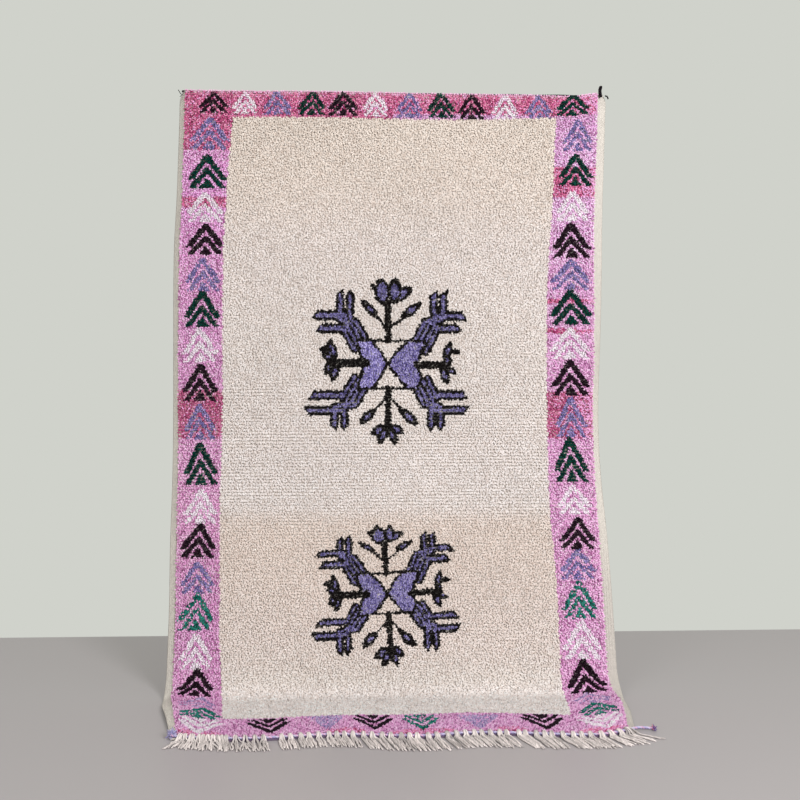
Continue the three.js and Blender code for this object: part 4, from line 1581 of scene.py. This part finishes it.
    def parts(self, knots: dict[str, np.ndarray], border: np.ndarray) -> dict[str, np.ndarray]:
        """Which knots belong to which piece of the pile."""
        share, along, across = knots["share"], knots["along"], knots["across"]
        parts = {
            "pile_top_band": border & (along < 0.09),
            "pile_foot_band": border & (along > 2.31),
            "pile_left_border": border & (share < 0.5),
            "pile_right_border": border,
        }
        for name, m in zip(("pile_upper_medallion", "pile_lower_medallion"), self.chart.medallions):
            parts[name] = m.near(across, along) & ~border
        parts["pile_upper_field"] = along < 0.72
        parts["pile_middle_field"] = along < 1.45
        parts["pile_lower_field"] = np.ones(len(share), bool)
        taken = np.zeros(len(share), bool)
        for name, picked in parts.items():
            parts[name] = picked & ~taken
            taken |= picked
        return parts

    def build(self, finish: YarnFinish) -> list[bpy.types.Object]:
        """Makes the pile.

        Args:
            finish: the wool's material.

        Returns:
            The pieces.
        """
        hand = np.random.default_rng(SEED + 2)
        knots = self.knots(hand)
        lean = self.lean(knots, hand)
        shown_across = knots["across"] + self.dye_place * lean["right"]
        shown_along = knots["along"] + self.dye_place * lean["down"]
        left, right = self.cloth.left.at(knots["along"]), self.cloth.right.at(knots["along"])
        shown_share = np.clip((shown_across - left) / (right - left), 0.0, 1.0)
        codes = self.chart.dyes(shown_share, shown_across, shown_along)
        laid = self.lay(knots, lean, codes, hand)
        colours = yarn_colours(codes, hand)
        cream = codes == Dye.CREAM.number
        # Painted light and shade on the cream field, together with its slow tone.
        colours[cream] *= self.chart.field_light_and_tone(shown_across[cream], shown_along[cream])
        orchid = codes == Dye.ORCHID.number
        colours[orchid] *= self.chart.orchid_tint(shown_share[orchid], shown_along[orchid])
        deep = codes == Dye.DEEP_PINK.number
        colours[deep] *= self.chart.deep_tint(shown_along[deep])
        self.mingle(colours, codes, shown_share, hand)
        # Painted light and shade on the bows' violet: the upper medallion's left half lighter and its right
        # half darker; the lower one darker on both halves.
        for medallion in self.chart.medallions:
            bow = (codes == Dye.VIOLET.number) & medallion.near(shown_across, shown_along)
            colours[bow] *= np.where(shown_across[bow] < medallion.across, *medallion.shade)[:, None]
        # Painted highlight: the pink tufts along the top edge are mixed towards pale pink, as light catching
        # the top of the pile.
        rim = shown_along < 5 * MM + 5 * MM * hand.random(len(codes))
        pink = rim & ((codes == Dye.DEEP_PINK.number) | (codes == Dye.ORCHID.number))
        colours[pink] = 0.35 * colours[pink] + 0.65 * DYES[Dye.ORCHID.number, 2]
        # Painted shade and highlight: each tuft is darker at its root, where shade falls between the tufts,
        # and a dyed tuft is lighter at its tip.
        painted_root_shade = np.where(cream, 0.93, 0.55)
        shades = np.stack([painted_root_shade, np.where(cream, 0.97, 0.9), np.where(cream, 1.0, 1.08)], axis=-1)
        ringed = np.clip(colours[:, None] * shades[..., None], 0, 0.98)
        material = finish.material()
        pieces = []
        for name, picked in self.parts(knots, self.chart.border(shown_share, shown_along)).items():
            chosen = {key: value[picked] for key, value in laid.items()}
            bars = Bars(name, self.shape, colours=ringed[picked], **chosen)
            piece = bars.build(hand, math.ceil(math.sqrt(int(picked.sum()))))
            pieces.append(finished(piece, material, "pile", "rug"))
        return pieces


@dataclass
class Fringe:
    """Warp ends below the foot: locks of plied yarns that pass over the cord and lie on the floor."""

    cloth: HangingCloth
    cord: "FootCord"
    locks: int = 50
    crowded: int = 5
    gap: int = 10
    yarns: int = 7
    radius: float = 2.6 * MM
    slim: float = 0.7
    layer: float = 2.2 * MM
    arch_pitch: float = 1.35 * MM
    floor_pitch: float = 3.3 * MM
    stray: float = 2.5 * MM
    rings: int = 20
    lean: Column = Column(
        (-0.66, -0.61, -0.54, -0.33, 0.0, 0.3, 0.54, 0.62, 0.68), (-34, 4, 13, 11, 14, 17, 20, 30, 50)
    )
    reach: Column = Column(
        (-0.66, -0.59, -0.42, -0.2, -0.075, 0.07, 0.25, 0.37, 0.525, 0.6, 0.66),
        (0.070, 0.086, 0.094, 0.092, 0.114, 0.113, 0.111, 0.115, 0.105, 0.096, 0.078),
    )
    last_fan: float = 9.0
    most_lean: float = 60.0
    last_shorter: float = 8 * MM
    dye: tuple[float, float, float] = (240, 229, 227)

    def lines(self, hand: np.random.Generator) -> np.ndarray:
        """The route of every yarn.

        Args:
            hand: source of the change from yarn to yarn.

        Returns:
            One line of points for each.
        """
        cloth, cord = self.cloth, self.cord
        left = float(cloth.left.at(cloth.foot)) + 14 * MM
        right = float(cloth.right.at(cloth.foot)) - 14 * MM
        over = cord.radius + self.slim * self.radius + 0.4 * MM
        angles = [math.radians(angle) for angle in (150, 95, 40)]
        arch = [(cord.out + over * math.cos(a), cord.up + over * math.sin(a)) for a in angles]
        high = [(2.6 * MM, 6.4 * MM), *arch, (20 * MM, 6.0 * MM)]
        routes = []
        between = [lock + 0.5 for lock in range(self.crowded)]
        for lock in sorted([*range(self.locks), *between]):
            if lock == self.gap:
                continue
            across = left + (right - left) * lock / (self.locks - 1) + hand.normal(0, self.stray)
            sway = 1.4 * math.sin(lock * 2.3) + hand.normal(0, 2.0)
            jumble = min(max(0.0, -across - 0.36) * 60.0, 7.0)
            fan = 1.0 if lock == self.locks - 1 else 0.0
            bend = cord.out
            root = cloth.foot_point(across, bend, 0.0)
            for k in range(self.yarns):
                spread = k - (self.yarns - 1) / 2
                lean = float(self.lean.at(across)) + sway + hand.normal(0, 1.6 + jumble)
                lean = min(lean + fan * self.last_fan * spread, self.most_lean)
                slope = math.tan(math.radians(lean))
                reach = float(self.reach.at(across)) + 9 * MM * math.sin(lock * 1.7 + k * 2.1)
                reach += hand.normal(0, 3 * MM)
                reach -= fan * self.last_shorter * spread
                above = self.layer * (k % 2) * np.array([0.4, 1.0, 1.0, 1.0, 0.8])
                points = []
                for (out, up), more in zip(high, above):
                    past = max(0.0, out - cord.out) / (18 * MM)
                    pitch = self.arch_pitch + (self.floor_pitch - self.arch_pitch) * past * 0.8
                    aside = spread * pitch + slope * past * 18 * MM
                    points.append(cloth.foot_point(across + aside, out, up + more))
                wave = hand.normal(0, 2.2 * MM, 4)
                for step, out in enumerate(np.linspace(28 * MM, reach, 4)):
                    side = spread * self.floor_pitch + slope * (out - bend) + wave[step] * 0.6
                    layer = 0.35 * self.layer * (k % 2) * (step < 3)
                    lift = 1.02 + 0.7 * abs(hand.normal(0, 0.4)) * (step < 3)
                    rest = cloth.floor + layer + self.radius * lift
                    points.append(np.array([root[0] + side, root[1] - out + bend, rest]))
                routes.append(points)
        return smooth_line(np.array(routes), self.rings)

    def build(self, finish: YarnFinish) -> bpy.types.Object:
        """Makes the fringe.

        Args:
            finish: the yarn's material.

        Returns:
            The piece.
        """
        hand = np.random.default_rng(SEED + 3)
        lines = self.lines(hand)
        count = len(lines)
        side, up = line_axes(lines, np.array([0.0, 0.0, 1.0]))
        spin = hand.uniform(0, 2 * np.pi, count)[:, None, None]
        turned = side * np.cos(spin) + up * np.sin(spin)
        turned_up = up * np.cos(spin) - side * np.sin(spin)
        shape = BarShape(sides=6, rings=self.rings, lobes=0.34, twist=58.0)
        swell = 1.0 + 0.12 * np.sin(np.linspace(0, 9, self.rings) + hand.uniform(0, 6, (count, 1)))
        swell *= self.slim + (1.0 - self.slim) * smooth(np.linspace(0, 1, self.rings), 0.25, 0.5)
        swell[:, -1] *= 0.6
        radii = np.repeat((self.radius * swell)[..., None], 2, axis=-1)
        base = linear(*self.dye) * hand.uniform(0.6, 1.08, (count, 1))
        colours = np.repeat(base[:, None], self.rings, axis=1)
        fringe = Bars("fringe_yarns", shape, lines, turned, turned_up, radii, colours).build(hand, 40)
        return finished(fringe, finish.material(), "warp_yarn", "fringe")


@dataclass
class TwinedCord:
    """A cord of a few strands wound round each other.

    Attributes:
        radius: half the cord's thickness.
        lay: length of one turn.
        strands: display colour of each strand.
        step: length between rings.
        below: display colour painted on the strands at the cord's lower side, if any: painted shade, which
            also stands for the cord's navy yarn.
    """

    radius: float
    lay: float
    strands: tuple
    step: float = 2.6 * MM
    below: tuple[float, float, float] | None = None

    def build(
        self, name: str, route: np.ndarray, finish: YarnFinish, slot: str, *nodes: str
    ) -> bpy.types.Object:
        """Makes the cord.

        Args:
            name: the piece's name.
            route: points of its middle line.
            finish: its material.
            slot: the record's material slot.
            nodes: the solids that it replaces.

        Returns:
            The piece.
        """
        length = float(np.linalg.norm(np.diff(route, axis=0), axis=1).sum())
        rings = BarShape.rings_near(length / self.step)
        middle = smooth_line(route, rings)
        side, up = line_axes(middle[None], np.array([0.0, 0.0, 1.0]))
        count = len(self.strands)
        own = self.radius * (0.5 if count == 2 else 0.52)
        along = np.linspace(0, length / self.lay * 2 * np.pi, rings)
        turn = along + np.arange(count)[:, None] * 2 * np.pi / count
        lines = middle + (self.radius - own) * (side * np.cos(turn)[..., None] + up * np.sin(turn)[..., None])
        side, up = line_axes(lines, np.array([0.0, 0.0, 1.0]))
        radii = np.full((count, rings, 2), own)
        radii[:, (0, -1)] *= 0.6
        hand = np.random.default_rng(SEED + 4)
        shades = np.array([linear(*shade) for shade in self.strands])
        colours = shades[:, None] * hand.uniform(0.85, 1.1, (count, rings, 1))
        if self.below is not None:
            # Painted shade: the strands take the darker colour where they turn to the cord's lower side.
            low = smooth(-np.sin(turn), -0.1, 0.7)[..., None]
            colours = colours * (1.0 - low) + linear(*self.below) * low
        shape = BarShape(sides=6, rings=rings)
        cord = Bars(name, shape, lines, side, up, radii, colours).build(hand, count)
        return finished(cord, finish.material(), slot, *nodes)


@dataclass
class Tuft:
    """Loose fibres that stand out round the end of a cord.

    Attributes:
        name: the piece's name.
        way: where they point.
        spread: how far they part, beside their length.
        long: their length.
        strands: how many there are.
        shades: their display colours.
        radius: half their thickness.
        aside: how far to the right of the cord's end it sits.
    """

    name: str
    way: tuple[float, float, float]
    spread: float
    long: float
    strands: int
    shades: tuple
    radius: float = 1.1 * MM
    aside: float = 0.0

    def build(
        self, middle: np.ndarray, floor: float, finish: YarnFinish, slot: str, node: str
    ) -> bpy.types.Object:
        """Makes the tuft.

        Args:
            middle: the end of the cord.
            floor: height of what it lies on.
            finish: its material.
            slot: the record's material slot.
            node: the solid that it replaces.

        Returns:
            The piece.
        """
        hand = np.random.default_rng(SEED + 5)
        count = self.strands
        aim = unit(np.array(self.way) + hand.normal(0, self.spread, (count, 3)))
        start = middle + np.array([self.aside, 0.0, 0.0]) + hand.normal(0, 2.0 * MM, (count, 3))
        reach = self.long * hand.uniform(0.5, 1.1, (count, 1, 1)) * np.linspace(0, 1, 4)[:, None]
        lines = start[:, None] + aim[:, None] * reach
        lines[..., 2] = np.maximum(lines[..., 2], floor + self.radius)
        side, up = line_axes(lines, np.array([0.3, 0.9, 0.3]))
        radii = np.full((count, 4, 2), self.radius)
        shades = np.array([linear(*shade) for shade in self.shades])
        shades = shades[hand.integers(0, len(self.shades), count)]
        colours = np.repeat((shades * hand.uniform(0.8, 1.1, (count, 1)))[:, None], 4, axis=1)
        tuft = Bars(self.name, BarShape(sides=4, rings=4), lines, side, up, radii, colours).build(hand, 8)
        return finished(tuft, finish.material(), slot, node)


@dataclass
class FootCord:
    """Twined cord of lilac, navy and pink over the bare ground at the foot, with a loose end at each side."""

    cloth: HangingCloth
    radius: float = 4.5 * MM
    out: float = 10.1 * MM
    up: float = 8.8 * MM
    spans: int = 40

    LEFT_END = ((0.026, 0.014, 0.3), (0.012, 0.005, 0.0))
    RIGHT_END = ((0.024, 0.012, 0.0), (0.050, 0.022, 0.5), (0.084, 0.020, 1.0))
    LEFT_TUFT = Tuft(
        "foot_cord_left_tuft", way=(0.6, 0.0, 0.3), spread=0.9, long=18 * MM, strands=170,
        shades=((184, 178, 214), (160, 152, 198)), radius=1.3 * MM, aside=9 * MM,
    )
    RIGHT_TUFT = Tuft(
        "foot_cord_right_tuft", way=(0.3, 0.0, 0.2), spread=0.8, long=9 * MM, strands=60,
        shades=((206, 120, 150), (110, 92, 150)),
    )

    def route(self) -> np.ndarray:
        """Points of its middle line, the same as its solid's."""
        cloth = self.cloth
        left, right = float(cloth.left.at(cloth.foot)), float(cloth.right.at(cloth.foot))
        fall = self.up - self.radius - 0.3 * MM

        def past(edge: float, side: int, beyond: float, back: float, down: float) -> np.ndarray:
            """A point of a loose end."""
            point = cloth.foot_point(edge, self.out - back, self.up - down * fall)
            point[0] += side * beyond
            return point

        points = [past(left, -1, *end) for end in self.LEFT_END]
        for i in range(self.spans + 1):
            points.append(cloth.foot_point(left + (right - left) * i / self.spans, self.out, self.up))
        points += [past(right, 1, *end) for end in self.RIGHT_END]
        return np.array(points)

    def build(self, finish: YarnFinish) -> list[bpy.types.Object]:
        """Makes the cord and the frayed tuft at each end."""
        shades = ((206, 198, 226), (182, 172, 212), (222, 180, 210))
        route = self.route()
        # The darker colour below is painted shade on the cord's underside, also standing for its navy yarn.
        twine = TwinedCord(self.radius, 26 * MM, shades, below=(122, 108, 150))
        pieces = [twine.build("foot_cord_twine", route, finish, "twined_yarn", "foot_cord")]
        for tuft, end in ((self.LEFT_TUFT, route[0]), (self.RIGHT_TUFT, route[-1])):
            pieces.append(tuft.build(end, self.cloth.floor, finish, "twined_yarn", "foot_cord"))
        return pieces


@dataclass
class TopCord:
    """Black twined cord along the top edge, and its loose ends at the corners."""

    cloth: HangingCloth
    radius: float = 3.0 * MM
    up: float = 0.6 * MM
    back: float = 3.4 * MM
    sunk: float = 2.5 * MM
    spans: int = 24

    BEND = ((-9.5, -10, -9), (-11, -4.5, -4), (-6, 2.4, -1.5))
    TAILS = (
        ("tail_left_up", -1, ((-9, -8, -14), (-14, -8, -16), (-20, -8, -9), (-25, -8, 0)), 1.9, 1.2),
        ("tail_left_out", -1, ((-11, -8, -20.5), (-16, -8, -21), (-20, -8, -24)), 1.5, 1.0),
        ("tail_right", 1, ((11, -10, -13), (8, -10, 4), (8, -10, 12), (12, -10, 24)), 7.2, 5.8),
        ("tail_right_tuft", 1, ((27, -5, -8), (35, -5, -10), (38.5, -5, -19)), 3.6, 2.2),
    )

    def corner(self, side: int) -> np.ndarray:
        """The cloth's top corner at the left (-1) or the right (1)."""
        edge = self.cloth.left if side < 0 else self.cloth.right
        return self.cloth.point(edge.at(0.0), np.array(0.0), 0.0)

    def route(self) -> np.ndarray:
        """Points of its middle line. It lies a little lower than its solid, hidden behind the pile."""
        left = float(self.cloth.left.at(0.0)) + 12 * MM
        right = float(self.cloth.right.at(0.0)) - 3 * MM
        i = np.arange(self.spans + 1)
        points = self.cloth.point(left + (right - left) * i / self.spans, np.zeros(len(i)), 0.0)
        points[:, 2] = np.maximum(points[:, 2], 0.0) + self.up + 0.9 * MM * (1 + np.sin(i * 2.4))
        points[:, 2] -= self.sunk
        points[:, 1] += self.back + 0.5 * MM * (1 + np.sin(i * 1.3))
        return np.concatenate([self.corner(-1) + np.array(self.BEND) * MM, points])

    def build(self, finish: YarnFinish) -> list[bpy.types.Object]:
        """Makes the cord and its loose ends.

        Args:
            finish: the wool's material.

        Returns:
            The pieces.
        """
        shades = ((18, 12, 18), (28, 20, 26))
        cord = TwinedCord(self.radius, 14 * MM, shades)
        pieces = [cord.build("top_cord_twine", self.route(), finish, "black_yarn", "top_cord")]
        for name, side, way, near, far in self.TAILS:
            route = self.corner(side) + np.array(way) * MM
            twine = TwinedCord((near + far) / 2 * MM, 9 * MM, shades, step=1.2 * MM)
            pieces.append(twine.build(name + "_twine", route, finish, "black_yarn", name))
        return pieces


@dataclass
class Studio:
    """Plain pale floor, soft light and the camera."""

    floor: float
    camera_place: tuple[float, float, float] = (-0.140, -3.826, -0.973)
    camera_yaw: float = 2.5
    camera_pitch: float = 1.59
    lens: float = 48.645
    floor_back: float = 0.55
    floor_front: float = 6.0
    floor_side: float = 6.0
    backdrop: tuple[float, float, float] = (208, 210, 203)
    lit: tuple[float, float, float] = (0.0, -0.2, -1.1)

    def camera(self) -> None:
        """Sets the camera at the photograph's viewing angle."""
        data = bpy.data.cameras.new("camera")
        data.lens = self.lens
        data.sensor_width = 36.0
        camera = bpy.data.objects.new("camera", data)
        camera.location = self.camera_place
        camera.rotation_euler = (math.radians(90 - self.camera_pitch), 0.0, -math.radians(self.camera_yaw))
        bpy.context.scene.collection.objects.link(camera)
        bpy.context.scene.camera = camera

    def lights(self) -> None:
        """Soft light from the right, in front, and an even fill from all round."""
        world = bpy.data.worlds.new("studio")
        world.use_nodes = True
        background = world.node_tree.nodes["Background"]
        background.inputs["Color"].default_value = (*linear(*self.backdrop), 1.0)
        background.inputs["Strength"].default_value = 1.0
        bpy.context.scene.world = world
        for name, place, size, power in (
            ("key", (2.4, -5.2, 0.6), 1.8, 235.0),
            ("fill", (-3.0, -4.5, 0.8), 2.5, 50.0),
        ):
            data = bpy.data.lights.new(name, "AREA")
            data.shape = "DISK"
            data.size = size
            data.energy = power
            lamp = bpy.data.objects.new(name, data)
            lamp.location = place
            aim = np.subtract(self.lit, place)
            yaw = math.atan2(-aim[0], aim[1])
            pitch = math.atan2(aim[2], math.hypot(aim[0], aim[1]))
            lamp.rotation_euler = (math.pi / 2 + pitch, 0.0, yaw)
            bpy.context.scene.collection.objects.link(lamp)

    def ground(self) -> None:
        """Lays the floor."""
        deselect()
        bpy.ops.mesh.primitive_plane_add(size=1.0)
        floor = bpy.context.object
        floor.name = "floor"
        deep = self.floor_front + self.floor_back
        floor.scale = (2 * self.floor_side, deep, 1.0)
        floor.location = (0.0, self.floor_back - deep / 2, self.floor)
        deselect()
        floor.select_set(True)
        bpy.ops.object.transform_apply(location=True, rotation=True, scale=True)
        floor.data.materials.append(FloorFinish().material())
        floor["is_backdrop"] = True

    def build(self) -> None:
        """Sets up the whole studio."""
        self.camera()
        self.lights()
        self.ground()
        bpy.context.scene.view_settings.view_transform = "Standard"


def corners(box: tuple) -> list[list[float]]:
    """A box's two corners as plain lists."""
    return [[float(v) for v in corner] for corner in box]


def main() -> None:
    """Builds the rug and its studio."""
    cad_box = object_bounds()
    cloth = HangingCloth()
    chart = RugChart()
    Studio(floor=float(cad_box[0].z) - 0.2 * MM).build()

    wool = YarnFinish("pile_wool")
    warp = YarnFinish("warp_yarn", streaks=5.0, contrast=0.4)
    twine = YarnFinish("twined_wool", streaks=5.0)
    ground = GroundCloth(cloth, chart).build(WovenFinish())
    pile = Pile(cloth, chart).build(wool)
    foot_cord = FootCord(cloth)
    cord = foot_cord.build(twine)
    fringe = Fringe(cloth, foot_cord).build(warp)
    top = TopCord(cloth).build(YarnFinish("black_wool", streaks=5.0))

    log.info("rug finished")


if __name__ == "__main__":
    main()
